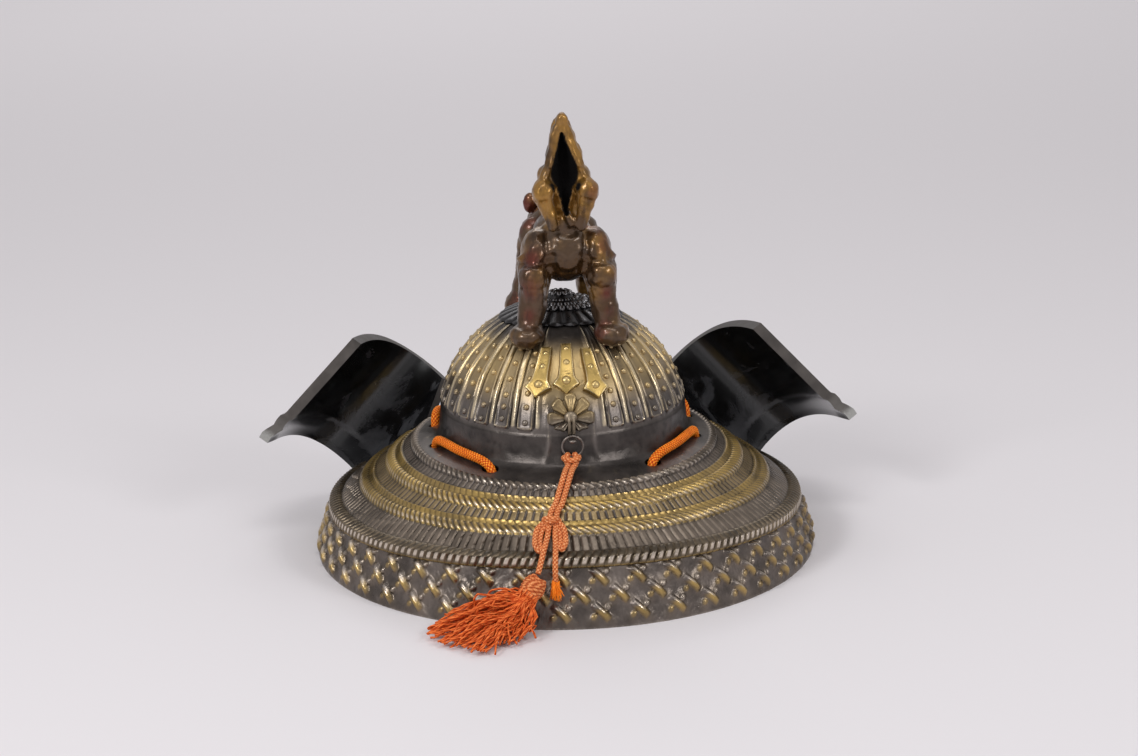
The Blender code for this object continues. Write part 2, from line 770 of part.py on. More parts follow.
def add_limb(bm, start, start_radius, end, end_radius, unit):
    """Add a tapered limb with round ends between two points, in a unit of length."""
    low = Vector(start) * unit
    high = Vector(end) * unit
    axis = high - low
    turn = axis.to_track_quat("Z", "Y").to_matrix().to_4x4()
    bmesh.ops.create_cone(
        bm,
        cap_ends=True,
        segments=14,
        radius1=start_radius * unit,
        radius2=end_radius * unit,
        depth=axis.length,
        matrix=Matrix.Translation((low + high) / 2) @ turn,
    )
    add_ball(bm, start, (start_radius,) * 3, unit)
    add_ball(bm, end, (end_radius,) * 3, unit)


# The figure's forms from the top of the bowl, all in hundredths of the figure's module.
FIGURE_BALLS = (
    # name, mirrored, centre, half sizes
    ("rump", 0, (0, 20, 29), (15.5, 16, 15)),
    ("barrel", 0, (0, -4, 29), (14.5, 26, 15)),
    ("chest", 0, (0, -28, 27), (15.5, 14, 17)),
    ("haunch", 1, (13.0, 22, 28), (8.0, 12, 12)),
    ("hock", 1, (16.0, 30, 12), (6.6, 8, 9)),
    ("hind_foot", 1, (19.3, 35.5, -7), (8.4, 9.5, 6.0)),
    ("shoulder", 1, (11.5, -27, 25), (8, 10, 12)),
    ("left_fore_foot", 0, (20.5, -34, -8), (6.6, 8.0, 5.6)),
    ("right_fore_foot", 0, (-14.5, -36, -8.5), (7.0, 8.5, 5.6)),
    ("skull", 0, (1.5, -45, 30), (13, 13, 13)),
    ("brow", 1, (6.5, -56, 34), (5, 4, 4)),
    ("muzzle", 0, (1.5, -59, 25), (9.5, 8, 6.5)),
    ("jaw", 0, (1.5, -55, 17), (8, 8, 4.5)),
    ("nose", 0, (1.5, -66, 27), (3.6, 2.6, 2.6)),
    ("left_ear", 0, (15.0, -38, 38.6), (3.6, 3.2, 6.8)),
    ("right_ear", 0, (-11.0, -38, 34), (3.4, 3.0, 4.6)),
    ("mane_side", 1, (11.0, -40, 26), (6.0, 7, 8)),
    ("mane_low", 1, (8.5, -44, 15), (6, 7, 7)),
    ("beard", 0, (1.5, -52, 11), (6, 6, 6)),
)
FIGURE_LIMBS = (
    # start, radius, end, radius
    ((14.0, 23, 26), 9.0, (16.0, 31, 9), 6.4),
    ((-14.0, 23, 26), 9.0, (-16.0, 31, 9), 6.4),
    ((16.0, 31, 9), 6.4, (18.3, 33, -6), 6.2),
    ((-16.0, 31, 9), 6.4, (-18.3, 33, -6), 6.2),
    ((12.5, -28, 24), 8.0, (15.5, -33, 6), 5.8),
    ((-11.0, -28, 24), 8.0, (-13.0, -34, 6), 6.0),
    ((15.5, -33, 6), 5.8, (19.0, -34, -7), 5.4),
    ((-13.0, -34, 6), 6.0, (-14.0, -35, -8), 5.6),
)
TAIL_BALLS = (
    # name, mirrored, centre, half sizes
    ("root", 0, (0, 28, 42), (9, 8, 10)),
    ("low_curl", 1, (10.6, 30, 52), (5.2, 6, 10)),
    ("outer_curl", 1, (11.8, 28, 61), (4.2, 5, 7.0)),
    ("mid_leaf", 1, (6.2, 27, 69), (3.6, 5, 8)),
    ("upper_leaf", 1, (3.4, 27, 78), (2.9, 4.4, 7.5)),
    ("tip", 0, (0.6, 27, 87), (2.8, 3.6, 6.5)),
    ("spine", 0, (0, 23, 62), (6, 4.2, 22)),
)


def make_figure():
    """The shishi that straddles the crown rosette, cast in one with its plumed tail."""
    bm = bmesh.new()
    for _name, mirrored, centre, radii in FIGURE_BALLS + TAIL_BALLS:
        for side in (1, -1) if mirrored else (1,):
            add_ball(bm, (centre[0] * side, centre[1], centre[2]), radii, FIGURE_UNIT)
    for start, start_radius, end, end_radius in FIGURE_LIMBS:
        add_limb(bm, start, start_radius, end, end_radius, FIGURE_UNIT)
    figure = add_mesh_object("shishi_figure", mesh_from("shishi_figure", bm), GLAZED_BRONZE)
    figure.location = (FIGURE_OFFSET_X, 0.0, CROWN_Z)
    remesh = figure.modifiers.new("skin", "REMESH")
    remesh.mode = "VOXEL"
    remesh.voxel_size = FIGURE_VOXEL
    soften = figure.modifiers.new("soften", "SMOOTH")
    soften.factor = 0.5
    soften.iterations = 3
    thin = figure.modifiers.new("facets", "DECIMATE")
    thin.ratio = FIGURE_KEEP
    cut(figure, make_tail_slot())
    cut(figure, make_dome_cutter())
    for plate in (PLATES[0], PLATES[-1]):
        grown = loft(plate[0] + "_cutter", plate_loops(plate, 2 * GAP), IRON, collection=CUTTERS)
        cut(figure, grown)
    return figure


# The slot in the tail's plume: height over the crown and half width, in the figure's units.
TAIL_SLOT = ((47, 0.4), (52, 2.4), (58, 4.6), (62, 5.4), (68, 4.4), (74, 2.8), (80, 1.4), (84, 0.4))
TAIL_SLOT_NEAR_Y = 40
TAIL_SLOT_DEEP_Y = 25
TAIL_SLOT_TAPER = 0.6


def make_tail_slot():
    """The deep slot down the back of the tail's plume."""
    seat = Vector((FIGURE_OFFSET_X, 0.0, CROWN_Z))
    loops = []
    for z, half in TAIL_SLOT:
        deep = half * TAIL_SLOT_TAPER
        section = (
            (-half, TAIL_SLOT_NEAR_Y),
            (half, TAIL_SLOT_NEAR_Y),
            (deep, TAIL_SLOT_DEEP_Y),
            (-deep, TAIL_SLOT_DEEP_Y),
        )
        loops.append([seat + Vector((x, y, z)) * FIGURE_UNIT for x, y in section])
    return loft("tail_slot", loops, IRON, collection=CUTTERS)


DOME_CUTTER_STATIONS = 48
DOME_CUTTER_LATITUDES = tuple(math.radians(value) for value in (56, 48, 40, 32, 24, 16))


def make_dome_cutter():
    """The bowl and crown rosette, grown by a clearance, that the figure's feet are cut to."""
    grow = RIB_PROUD + GAP
    rows = [(0.0, CROWN_CAP_PROUD + GAP)]
    rows += [
        (share * CROWN_ROSETTE_RADIUS + GAP, height * CROWN_CAP_PROUD + 2 * GAP)
        for share, height in CROWN_PROFILE[1:]
    ]
    loops = []
    for index in range(DOME_CUTTER_STATIONS):
        angle = 2 * math.pi * index / DOME_CUTTER_STATIONS
        section = []
        for radius, proud in rows:
            x = radius * math.sin(angle)
            y = radius * math.cos(angle)
            section.append(Vector((x, y, dome_height(x, y) + proud)))
        for latitude in DOME_CUTTER_LATITUDES:
            section.append(dome_point(angle, latitude, grow))
        section.append(Vector((0.0, 0.0, BOWL_CENTRE_Z)))
        loops.append(section)
    return loft("dome_cutter", loops, IRON, ring=True, collection=CUTTERS)


# Route of half the chin cord on the wearer's left, from the back round to the middle of the front.
CHIN_ROUTE = (
    (0.6, 60.0, 47.0),
    (18.0, 60.2, 46.2),
    (30.0, 61.2, 45.6),
    (35.2, 62.2, 47.8),
    (36.0, 62.6, 52.6),
    (36.8, 61.4, 56.7),
    (40.2, 57.0, 57.9),
    (49.9, 42.4, 58.0),
    (57.4, 27.4, 58.3),
    (60.2, 20.4, 57.8),
    (60.7, 17.8, 53.8),
    (60.6, 16.6, 49.0),
    (60.6, 11.6, 45.8),
    (60.8, 2.0, 45.2),
    (60.6, -10.0, 45.8),
    (60.2, -15.4, 48.8),
    (60.3, -16.9, 53.5),
    (60.1, -19.2, 57.4),
    (59.0, -25.0, 58.9),
    (57.0, -31.0, 57.6),
    (55.7, -33.6, 53.5),
    (54.6, -35.0, 48.6),
    (53.4, -37.0, 40.0),
    (52.4, -41.0, 24.0),
    (50.0, -44.0, 10.0),
    (42.0, -47.0, 3.6),
    (30.0, -49.0, 2.6),
    (14.0, -50.5, 2.5),
    (0.0, -51.0, 2.5),
)
# Routes of the tassel cord's strands, each from its upper end down.
UPPER_LEFT_ROUTE = (
    (2.2, 76.3, 58.8),
    (3.6, 79.6, 58.0),
    (5.0, 85.4, 56.9),
    (7.1, 90.6, 52.6),
    (9.6, 97.2, 47.8),
    (12.2, 101.9, 44.6),
)
UPPER_RIGHT_ROUTE = (
    (-0.7, 76.3, 58.8),
    (0.7, 79.6, 58.0),
    (2.1, 85.4, 56.9),
    (4.2, 90.6, 52.6),
    (6.7, 97.2, 47.8),
    (9.3, 101.9, 44.6),
)
LEFT_TAIL_ROUTE = (
    (13.9, 111.4, 39.0),
    (15.2, 115.6, 35.8),
    (16.8, 120.4, 32.4),
    (18.2, 123.4, 28.6),
    (19.4, 125.5, 25.3),
)
RIGHT_TAIL_ROUTE = (
    (10.8, 111.6, 38.8),
    (11.0, 116.0, 35.4),
    (11.4, 120.9, 32.4),
    (11.8, 124.0, 28.0),
    (11.9, 125.3, 21.4),
)
KNOT_LOOP_ROUTES = (
    ((12.8, 107.0, 42.8), (16.4, 106.8, 42.0), (19.2, 109.4, 39.8), (20.7, 114.2, 35.8), (20.0, 117.4, 34.2)),
    ((11.6, 107.0, 42.8), (8.2, 107.0, 42.0), (5.8, 109.8, 40.0), (5.7, 115.0, 36.0), (7.4, 117.6, 34.6)),
)
# Free ends of the tassel's locks on and over the floor, with the place where each one bends.
TASSEL_LOCKS = (
    # bend, end
    ((30.0, 127.6, 17.0), (47.0, 123.0, 8.0)),
    ((34.0, 127.0, 14.0), (57.0, 120.0, 4.0)),
    ((36.0, 127.0, 11.0), (64.5, 125.0, 1.5)),
    ((37.0, 130.0, 9.0), (66.0, 131.0, 1.5)),
    ((35.0, 132.0, 9.0), (60.0, 138.0, 1.5)),
    ((34.0, 133.0, 8.0), (54.0, 144.0, 1.5)),
    ((32.0, 134.0, 8.0), (49.0, 152.0, 1.5)),
    ((30.0, 135.0, 7.5), (42.0, 150.0, 1.5)),
    ((28.0, 134.0, 7.0), (36.0, 145.0, 1.5)),
    ((25.0, 132.0, 8.0), (28.0, 137.0, 1.8)),
    ((36.0, 129.0, 16.0), (52.0, 130.0, 6.0)),
)
TASSEL_HEAD = (21.4, 128.2, 20.6)
TASSEL_HEAD_HALF_SIZES = (5.6, 4.6, 5.4)
KNOT_CENTRE = (12.2, 107.0, 43.0)
KNOT_HALF_SIZES = (4.2, 4.4, 2.9)
HITCH_CENTRE = (0.8, 72.8, 59.5)
HITCH_HALF_SIZES = (3.4, 2.4, 2.2)
FRAYED_CENTRE = (11.6, 127.2, 16.0)
FRAYED_HALF_SIZES = (3.4, 2.2, 4.4)


def route(points):
    """Vectors in metres from hand-placed points in millimetres."""
    return [Vector(point) * MM for point in points]


def make_chin_cord():
    """The whole loop of the chin cord, through the flare's holes and across the floor inside."""
    left = route(CHIN_ROUTE)
    right = [Vector((-point.x, point.y, point.z)) for point in reversed(left[:-1])]
    points = smooth_route(left + right, CHIN_CORD_STEP)
    return tube("chin_cord", points, CHIN_CORD_RADIUS, ORANGE_BRAID)


def make_tassel_cord():
    """The twin strands from the ring, the bow knot, its two tails and their ends."""
    ball("cord_hitch", HITCH_CENTRE, HITCH_HALF_SIZES, SALMON_CORD)
    strands = {
        "cord_strand_left": UPPER_LEFT_ROUTE,
        "cord_strand_right": UPPER_RIGHT_ROUTE,
        "cord_tail_left": LEFT_TAIL_ROUTE,
        "cord_tail_right": RIGHT_TAIL_ROUTE,
    }
    for name, points in strands.items():
        tube(name, smooth_route(route(points), TASSEL_CORD_STEP), TASSEL_CORD_RADIUS, SALMON_CORD)
    knot = ball("cord_knot", KNOT_CENTRE, KNOT_HALF_SIZES, SALMON_CORD)
    loops = []
    for index, points in enumerate(KNOT_LOOP_ROUTES):
        path = smooth_route(route(points), TASSEL_CORD_STEP)
        name = "knot_loop_" + str(index)
        radii = [KNOT_LOOP_RADIUS] * len(path)
        loops.append(mesh_tube(name, path, radii, SALMON_CORD, collection=CUTTERS))
    fuse(knot, loops)
    ball("frayed_end", FRAYED_CENTRE, FRAYED_HALF_SIZES, ORANGE_BRAID)


def make_tassel():
    """The tassel's wrapped head and the locks that fan down to the floor."""
    tassel = ball("tassel", TASSEL_HEAD, TASSEL_HEAD_HALF_SIZES, SALMON_CORD)
    head = Vector(TASSEL_HEAD) * MM
    locks = []
    for index, (bend, end) in enumerate(TASSEL_LOCKS):
        path = smooth_route([head, *route((bend, end))], TASSEL_LOCK_STEP)
        thinning = (LOCK_TIP_RADIUS - LOCK_ROOT_RADIUS) / (len(path) - 1)
        taper = [LOCK_ROOT_RADIUS + thinning * station for station in range(len(path))]
        name = "lock_" + str(index)
        locks.append(mesh_tube(name, path, taper, SALMON_CORD, LOCK_SIDES, CUTTERS))
    fuse(tassel, locks)


make_bowl()
make_neck_guard()
make_turnbacks()
make_peak()
make_crown_rosette()
make_gilt_plates()
make_rear_rosette()
make_ring_and_staple()
make_figure()
make_chin_cord()
make_tassel_cord()
make_tassel()
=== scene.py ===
"""Dress of the kabuto helmet ornament: fine cast surfaces, cords, tassel and studio.

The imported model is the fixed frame. Sizes here are in millimetres in the bowl's own plan, where the
helmet's back faces +Y, and are moved to the frame when a mesh is written.
"""

from __future__ import annotations

import logging
import math
import random
from collections.abc import Callable, Sequence
from dataclasses import dataclass, field
from enum import Enum
from math import cos, pi, radians, sin

import bmesh
import bpy
from mathutils import Matrix, Vector, noise

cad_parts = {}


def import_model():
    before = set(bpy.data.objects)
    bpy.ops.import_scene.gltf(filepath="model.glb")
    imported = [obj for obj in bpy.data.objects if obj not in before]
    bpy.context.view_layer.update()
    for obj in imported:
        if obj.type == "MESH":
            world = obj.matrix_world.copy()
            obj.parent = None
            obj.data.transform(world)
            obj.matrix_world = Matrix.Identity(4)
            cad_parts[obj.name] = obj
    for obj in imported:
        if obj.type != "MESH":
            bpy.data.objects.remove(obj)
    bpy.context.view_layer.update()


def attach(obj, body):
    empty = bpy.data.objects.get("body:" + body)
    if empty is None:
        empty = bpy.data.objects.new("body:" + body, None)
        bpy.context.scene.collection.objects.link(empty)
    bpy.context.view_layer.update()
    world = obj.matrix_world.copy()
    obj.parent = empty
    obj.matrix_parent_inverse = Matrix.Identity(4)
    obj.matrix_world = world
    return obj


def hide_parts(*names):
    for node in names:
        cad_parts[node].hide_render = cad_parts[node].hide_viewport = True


LOG = logging.getLogger("kabuto")
MM = 0.001
PLAN_SHIFT = Vector((0.0, -15.0, 0.0))
UP = Vector((0.0, 0.0, 1.0))
WELD = 2e-6
# Marks: relief, gilding, and soot_and_shade, which darkens both for sooting and for painted shade.
MARKS = ("relief", "gilt", "soot_and_shade")
PLAIN = (0.2, 0.0, 0.5)
Point = Marks = Colour = tuple[float, float, float]
Route = tuple[Point, ...]
Surface = Callable[[float, int], tuple[Vector, Marks]]
Inputs = dict[str | int, object]


def ease(low: float, high: float, value: float) -> float:
    """Ease from 0 at low to 1 at high."""
    share = min(1.0, max(0.0, (value - low) / (high - low)))
    return share * share * (3.0 - 2.0 * share)


def mix(start: float, end: float, share: float) -> float:
    """Blend two numbers."""
    return start + (end - start) * share


def bell(value: float, width: float) -> float:
    """A soft peak of 1 at 0."""
    return math.exp(-((value / width) ** 2))


def spline(a: object, b: object, c: object, d: object, t: float) -> object:
    """Catmull-Rom curve from b to c, of numbers or vectors."""
    return (b * 2 + (c - a) * t + (a * 2 - b * 5 + c * 4 - d) * t**2 + (b * 3 - a - c * 3 + d) * t**3) / 2


def table_at(rows: Sequence[Sequence[float]], key: float) -> list[float]:
    """Read a table smoothly at a key.

    Args:
        rows: Rows whose first column is the rising key.
        key: The place to read.

    Returns:
        The other columns there.
    """
    last = len(rows) - 1
    index = 0
    while index < last - 1 and key > rows[index + 1][0]:
        index += 1
    t = min(1.0, max(0.0, (key - rows[index][0]) / (rows[index + 1][0] - rows[index][0])))
    four = (rows[max(index - 1, 0)], rows[index], rows[index + 1], rows[min(index + 2, last)])
    return [spline(*column, t) for column in list(zip(*four))[1:]]


def smooth_route(points: Sequence[Vector | Point], step: float) -> list[Vector]:
    """Points of a smooth curve through a cord's route points, ends included."""
    points = [Vector(point) for point in points]
    ends = [points[0] * 2 - points[1], *points, points[-1] * 2 - points[-2]]
    path = []
    for four in zip(ends, ends[1:], ends[2:], ends[3:]):
        count = max(1, round((four[2] - four[1]).length / step))
        path += [spline(*four, part / count) for part in range(count)]
    return [*path, points[-1].copy()]


@dataclass(frozen=True)
class HelmetForm:
    """The main surfaces of the helmet, in millimetres in the bowl's plan."""

    half_width: float = 57.8
    half_length: float = 66.0
    rise: float = 50.0
    centre_z: float = 66.0
    wall: float = 4.0
    field_angle: float = radians(15.5)
    panels: int = 28
    hole_radius: float = 9.0
    flare_top: float = 69.0
    flare_edge: float = 53.0
    flare_half_width: float = 68.6
    flare_back: float = 85.0
    flare_front: float = 76.0
    flare_wall: float = 3.4
    guard_wall: float = 4.0
    guard_end: float = radians(117.5)
    ridge_half_width: float = 110.0
    ridge_half_length: float = 119.0
    ridge_side: float = 23.4
    ridge_back: float = 29.0
    rim_half_width: float = 117.7
    rim_half_length: float = 128.0
    flare_rows: Route = (
        (0.00, 0.00, 0.00), (0.50, 0.05, 0.04), (0.77, 0.13, 0.15),
        (0.88, 0.28, 0.32), (0.95, 0.58, 0.65), (1.00, 1.00, 1.00),
    )

    @property
    def pitch(self) -> float:
        """Angle of one panel."""
        return 2 * (pi - self.field_angle) / self.panels

    def dome(self, angle: float, latitude: float, proud: float = 0.0) -> Vector:
        """A point of the bowl's ellipsoid, or proud of it."""
        x, y, z = cos(latitude) * sin(angle), cos(latitude) * cos(angle), sin(latitude)
        normal = Vector((x / self.half_width, y / self.half_length, z / self.rise)).normalized()
        base = Vector((self.half_width * x, self.half_length * y, self.centre_z + self.rise * z))
        return base + normal * proud

    def dome_height(self, x: float, y: float) -> float:
        """Height of the bowl over a point of the plan."""
        inside = 1 - (x / self.half_width) ** 2 - (y / self.half_length) ** 2
        return self.centre_z + self.rise * math.sqrt(max(inside, 0.0))

    def dome_at(self, x: float, z: float, proud: float = 0.0) -> Vector:
        """A point of the bowl's back found from its x and height."""
        latitude = math.asin((z - self.centre_z) / self.rise)
        return self.dome(math.asin(x / (self.half_width * cos(latitude))), latitude, proud)

    def level(self, angle: float, width: float, back: float, front: float, z: float) -> Vector:
        """A point of a level ring of two half ellipses."""
        return Vector((width * sin(angle), (back if cos(angle) >= 0 else front) * cos(angle), z))

    def flare(self, angle: float, fall: float, drop: float = 0.0) -> Vector:
        """A point of the flare, from the foot of the band at 0 to its edge at 1."""
        side, back = table_at(self.flare_rows, fall)
        top = self.dome(angle, math.asin((self.flare_top - self.centre_z) / self.rise))
        edge = self.level(angle, self.flare_half_width, self.flare_back, self.flare_front, 0.0)
        point = top.lerp(edge, side + (back - side) * cos(angle) ** 2)
        point.z = self.flare_top + (self.flare_edge - self.flare_top) * fall - drop
        return point

    def ridge(self, angle: float) -> Vector:
        """The corner between the lames and the apron."""
        z = self.ridge_side + (self.ridge_back - self.ridge_side) * max(cos(angle), 0.0) ** 2
        return self.level(angle, self.ridge_half_width, self.ridge_half_length, self.ridge_half_length, z)

    def slope(self, angle: float, share: float, proud: float = 0.0) -> Vector:
        """A point of the sloping lames, from the top rope to the ridge."""
        top = self.level(angle, self.flare_half_width, self.flare_back, self.flare_front, self.flare_edge)
        fall = self.ridge(angle) - top
        along = fall.normalized()
        return top + fall * share + (UP - along * UP.dot(along)).normalized() * proud

    def rim(self, angle: float) -> Vector:
        """The foot of the apron."""
        return self.level(angle, self.rim_half_width, self.rim_half_length, self.rim_half_length, 0.0)

    def apron(self, angle: float, share: float, proud: float = 0.0) -> Vector:
        """A point of the upright apron, from the ridge to the rim."""
        ridge = self.ridge(angle)
        fall = self.rim(angle) - ridge
        along = fall.normalized()
        outward = outward_of(ridge)
        return ridge + fall * share + (outward - along * outward.dot(along)).normalized() * proud


def outward_of(point: Vector) -> Vector:
    """Level direction away from the plan's middle."""
    return Vector((point.x, point.y, 0.0)).normalized()


FORM = HelmetForm()


def to_frame(bm: bmesh.types.BMesh, shift: Vector = PLAN_SHIFT) -> None:
    """Move a mesh from the plan's millimetres to the frame's metres."""
    bmesh.ops.translate(bm, vec=shift, verts=bm.verts)
    bmesh.ops.scale(bm, vec=Vector((MM, MM, MM)), verts=bm.verts)


def close(bm: bmesh.types.BMesh) -> None:
    """Fill open edges and turn every face outward."""
    edges = [edge for edge in bm.edges if edge.is_boundary]
    if edges:
        bmesh.ops.holes_fill(bm, edges=edges, sides=0)
    bmesh.ops.recalc_face_normals(bm, faces=bm.faces)


def write(name: str, bm: bmesh.types.BMesh, *materials: bpy.types.Material) -> bpy.types.Object:
    """Write a bmesh to a new object in the scene, and free it."""
    mesh = bpy.data.meshes.new(name)
    bm.to_mesh(mesh)
    bm.free()
    for material in materials:
        mesh.materials.append(material)
    piece = bpy.data.objects.new(name, mesh)
    bpy.context.scene.collection.objects.link(piece)
    return piece


def carve(piece: bpy.types.Object, tool: bpy.types.Object) -> None:
    """Cut a tool from a piece, apply its modifiers and drop the tool."""
    cut = piece.modifiers.new("cut", "BOOLEAN")
    cut.object = tool
    cut.operation = "DIFFERENCE"
    bpy.context.view_layer.update()
    graph = bpy.context.evaluated_depsgraph_get()
    mesh = bpy.data.meshes.new_from_object(piece.evaluated_get(graph))
    mesh.name = piece.name
    piece.modifiers.clear()
    piece.data = mesh
    bpy.data.objects.remove(tool)


def register(piece: bpy.types.Object, nodes: Sequence[str]) -> bpy.types.Object:
    """Ride a piece on the body, hide the solids that it stands for and log its faces."""
    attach(piece, "root")
    if nodes:
        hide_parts(*nodes)
    LOG.info("%s: %d faces", piece.name, len(piece.data.polygons))
    return piece


def turned(normal: Vector) -> Matrix:
    """The turn that lays the z axis along a normal."""
    return normal.to_track_quat("Z", "Y").to_matrix().to_4x4()


class Sculptor:
    """One bmesh with the three marks that the finishes read."""

    def __init__(self) -> None:
        """Start an empty mesh."""
        self.bm = bmesh.new()
        self.layers = [self.bm.verts.layers.float.new(name) for name in MARKS]

    def skin(self, columns: int, rows: int, surface: Surface) -> None:
        """Lay a grid over a surface.

        Args:
            columns: Steps along the surface.
            rows: Steps across it.
            surface: Place and marks for a share along and a row.
        """
        for vert in bmesh.ops.create_grid(self.bm, x_segments=columns, y_segments=rows, size=0.5)["verts"]:
            vert.co, marks = surface(vert.co.x + 0.5, round((vert.co.y + 0.5) * rows))
            self.mark([vert], marks)

    def tube(
        self,
        path: Sequence[Vector],
        sides: int,
        radius: Callable[[float, float, float], float],
        marks: Callable[[float, float, float], Marks] = lambda run, share, turn: (0.5, 0.0, 0.0),
    ) -> None:
        """Lay a closed tube along a path.

        Args:
            path: Points of its centreline.
            sides: Steps round it.
            radius: Radius for the length run, the share along and the turn.
            marks: Marks for the same three values.
        """
        frames = self._frames(path)
        runs = [0.0]
        for start, end in zip(path, path[1:]):
            runs.append(runs[-1] + (end - start).length)
        stations = [0, *range(len(path)), len(path) - 1]
        last = len(stations) - 1

        def surface(u: float, row: int) -> tuple[Vector, Marks]:
            order = round(u * last)
            station = stations[order]
            turn = 2 * pi * row / sides
            across, beside = frames[station]
            place = (runs[station], runs[station] / runs[-1], turn)
            size = 0.0 if order in (0, last) else radius(*place)
            return path[station] + (across * cos(turn) + beside * sin(turn)) * size, marks(*place)

        self.skin(last, sides, surface)

    @staticmethod
    def _frames(path: Sequence[Vector]) -> list[tuple[Vector, Vector]]:
        """Two directions across a path at each point, carried along without twist."""
        frames = []
        across = UP
        for index in range(len(path)):
            along = (path[min(index + 1, len(path) - 1)] - path[max(index - 1, 0)]).normalized()
            across = across - along * across.dot(along)
            if across.length < 1e-4:
                across = Vector((1.0, 0.0, 0.0)) - along * along.x
            across.normalize()
            frames.append((across.copy(), along.cross(across)))
        return frames

    def ball(
        self, centre: Vector, sizes: Sequence[float], around: int, turn: Matrix = Matrix.Identity(4)
    ) -> None:
        """Add an ellipsoid of three half sizes, turned if asked."""
        matrix = Matrix.Translation(centre) @ turn @ Matrix.Diagonal((*sizes, 1.0))
        rings = max(4, around // 2 + 1)
        counts = {"u_segments": around, "v_segments": rings}
        for vert in bmesh.ops.create_uvsphere(self.bm, radius=1.0, matrix=matrix, **counts)["verts"]:
            vert[self.layers[0]] = 0.9

    def mark(self, verts: Sequence[bmesh.types.BMVert], values: Marks) -> None:
        """Give vertices their marks."""
        for vert in verts:
            for layer, value in zip(self.layers, values):
                vert[layer] = value

    def publish(
        self,
        name: str,
        slot: str,
        materials: Sequence[bpy.types.Material],
        nodes: Sequence[str] = (),
        sharp: float = 60.0,
    ) -> bpy.types.Object:
        """Write the mesh as a piece of the object.

        Args:
            name: The piece's name.
            slot: The record's material slot; not used.
            materials: Its finishes.
            nodes: CAD nodes that it stands for.
            sharp: Angle in degrees past which an edge is sharp.

        Returns:
            The piece.
        """
        bm = self.bm
        to_frame(bm)
        bmesh.ops.remove_doubles(bm, verts=bm.verts, dist=WELD)
        bmesh.ops.dissolve_degenerate(bm, edges=bm.edges, dist=WELD / 4)
        close(bm)
        piece = write(name, bm, *materials)
        piece.data.shade_smooth()
        piece.data.set_sharp_from_angle(angle=radians(sharp))
        return register(piece, nodes)


class Tree:
    """Short calls to build one node tree."""

    def __init__(self, tree: bpy.types.NodeTree) -> None:
        """Hold the tree."""
        self.tree = tree

    def set(self, socket: bpy.types.NodeSocket, value: object) -> None:
        """Link a socket to an output, or set it to a value or a colour."""
        if isinstance(value, bpy.types.NodeSocket):
            self.tree.links.new(value, socket)
        elif socket.type == "RGBA":
            socket.default_value = (*value, 1.0)
        else:
            socket.default_value = value

    def add(self, kind: str, inputs: Inputs | None = None, **settings: object) -> bpy.types.Node:
        """Add a node.

        Args:
            kind: Blender's node type, without its prefix.
            inputs: Values or output sockets by input name or index.
            settings: The node's own properties.

        Returns:
            The node.
        """
        node = self.tree.nodes.new(kind if kind.startswith("Node") else "ShaderNode" + kind)
        for name, value in settings.items():
            setattr(node, name, value)
        self.wire(node, inputs or {})
        return node

    def wire(self, node: bpy.types.Node, inputs: Inputs) -> None:
        """Set or link a node's inputs."""
        for key, value in inputs.items():
            self.set(node.inputs[key], value)

    def place(self, **mapping: Point) -> bpy.types.NodeSocket:
        """Object coordinates, moved or scaled if asked."""
        place = self.add("TexCoord").outputs["Object"]
        return self.add("Mapping", {"Vector": place, **mapping}).outputs[0] if mapping else place

    def noise(
        self, place: object, scale: object, detail: float = 4.0, rough: float = 0.55, **more: float
    ) -> object:
        """Noise in space."""
        inputs = {"Vector": place, "Scale": scale, "Detail": detail, "Roughness": rough, **more}
        return self.add("TexNoise", inputs).outputs["Fac"]

    def ramp(self, value: object, low: float, high: float, out: tuple[float, float] = (0.0, 1.0)) -> object:
        """A smooth step of a value between two limits."""
        inputs = {"Value": value, "From Min": low, "From Max": high, "To Min": out[0], "To Max": out[1]}
        return self.add("MapRange", inputs, interpolation_type="SMOOTHSTEP").outputs["Result"]

    def math(self, operation: str, first: object, second: object = 0.0, clamp: bool = False) -> object:
        """One sum of two values."""
        return self.add("Math", {0: first, 1: second}, operation=operation, use_clamp=clamp).outputs[0]

    def blend(self, share: object, first: object, second: object) -> object:
        """Mix two colours."""
        return self.add("Mix", {0: share, 6: first, 7: second}, data_type="RGBA").outputs[2]

    def attribute(self, name: str) -> bpy.types.NodeSocket:
        """One of the mesh's marks."""
        return self.add("Attribute", attribute_name=name).outputs["Fac"]

    def bump(self, height: object, strength: float, distance: float) -> bpy.types.NodeSocket:
        """A bump from a height."""
        inputs = {"Height": height, "Strength": strength, "Distance": distance}
        return self.add("Bump", inputs).outputs["Normal"]


def new_group(
    name: str, inputs: dict[str, object], outputs: dict[str, str]
) -> tuple[Tree, dict[str, bpy.types.NodeSocket], bpy.types.Node]:
    """Start a shader node group.

    Args:
        name: The group's name.
        inputs: Default values by socket name.
        outputs: Socket types by name.

    Returns:
        Its tree, its input sockets by name and its output node.
    """
    tree = bpy.data.node_groups.new(name, "ShaderNodeTree")
    for key, value in inputs.items():
        colour = isinstance(value, tuple)
        kind = "NodeSocketColor" if colour else "NodeSocketFloat"
        socket = tree.interface.new_socket(key, in_out="INPUT", socket_type=kind)
        socket.default_value = (*value, 1.0) if colour else value
    for key, kind in outputs.items():
        tree.interface.new_socket(key, in_out="OUTPUT", socket_type="NodeSocket" + kind)
    kit = Tree(tree)
    source = kit.add("NodeGroupInput")
    return kit, {key: source.outputs[key] for key in inputs}, kit.add("NodeGroupOutput")


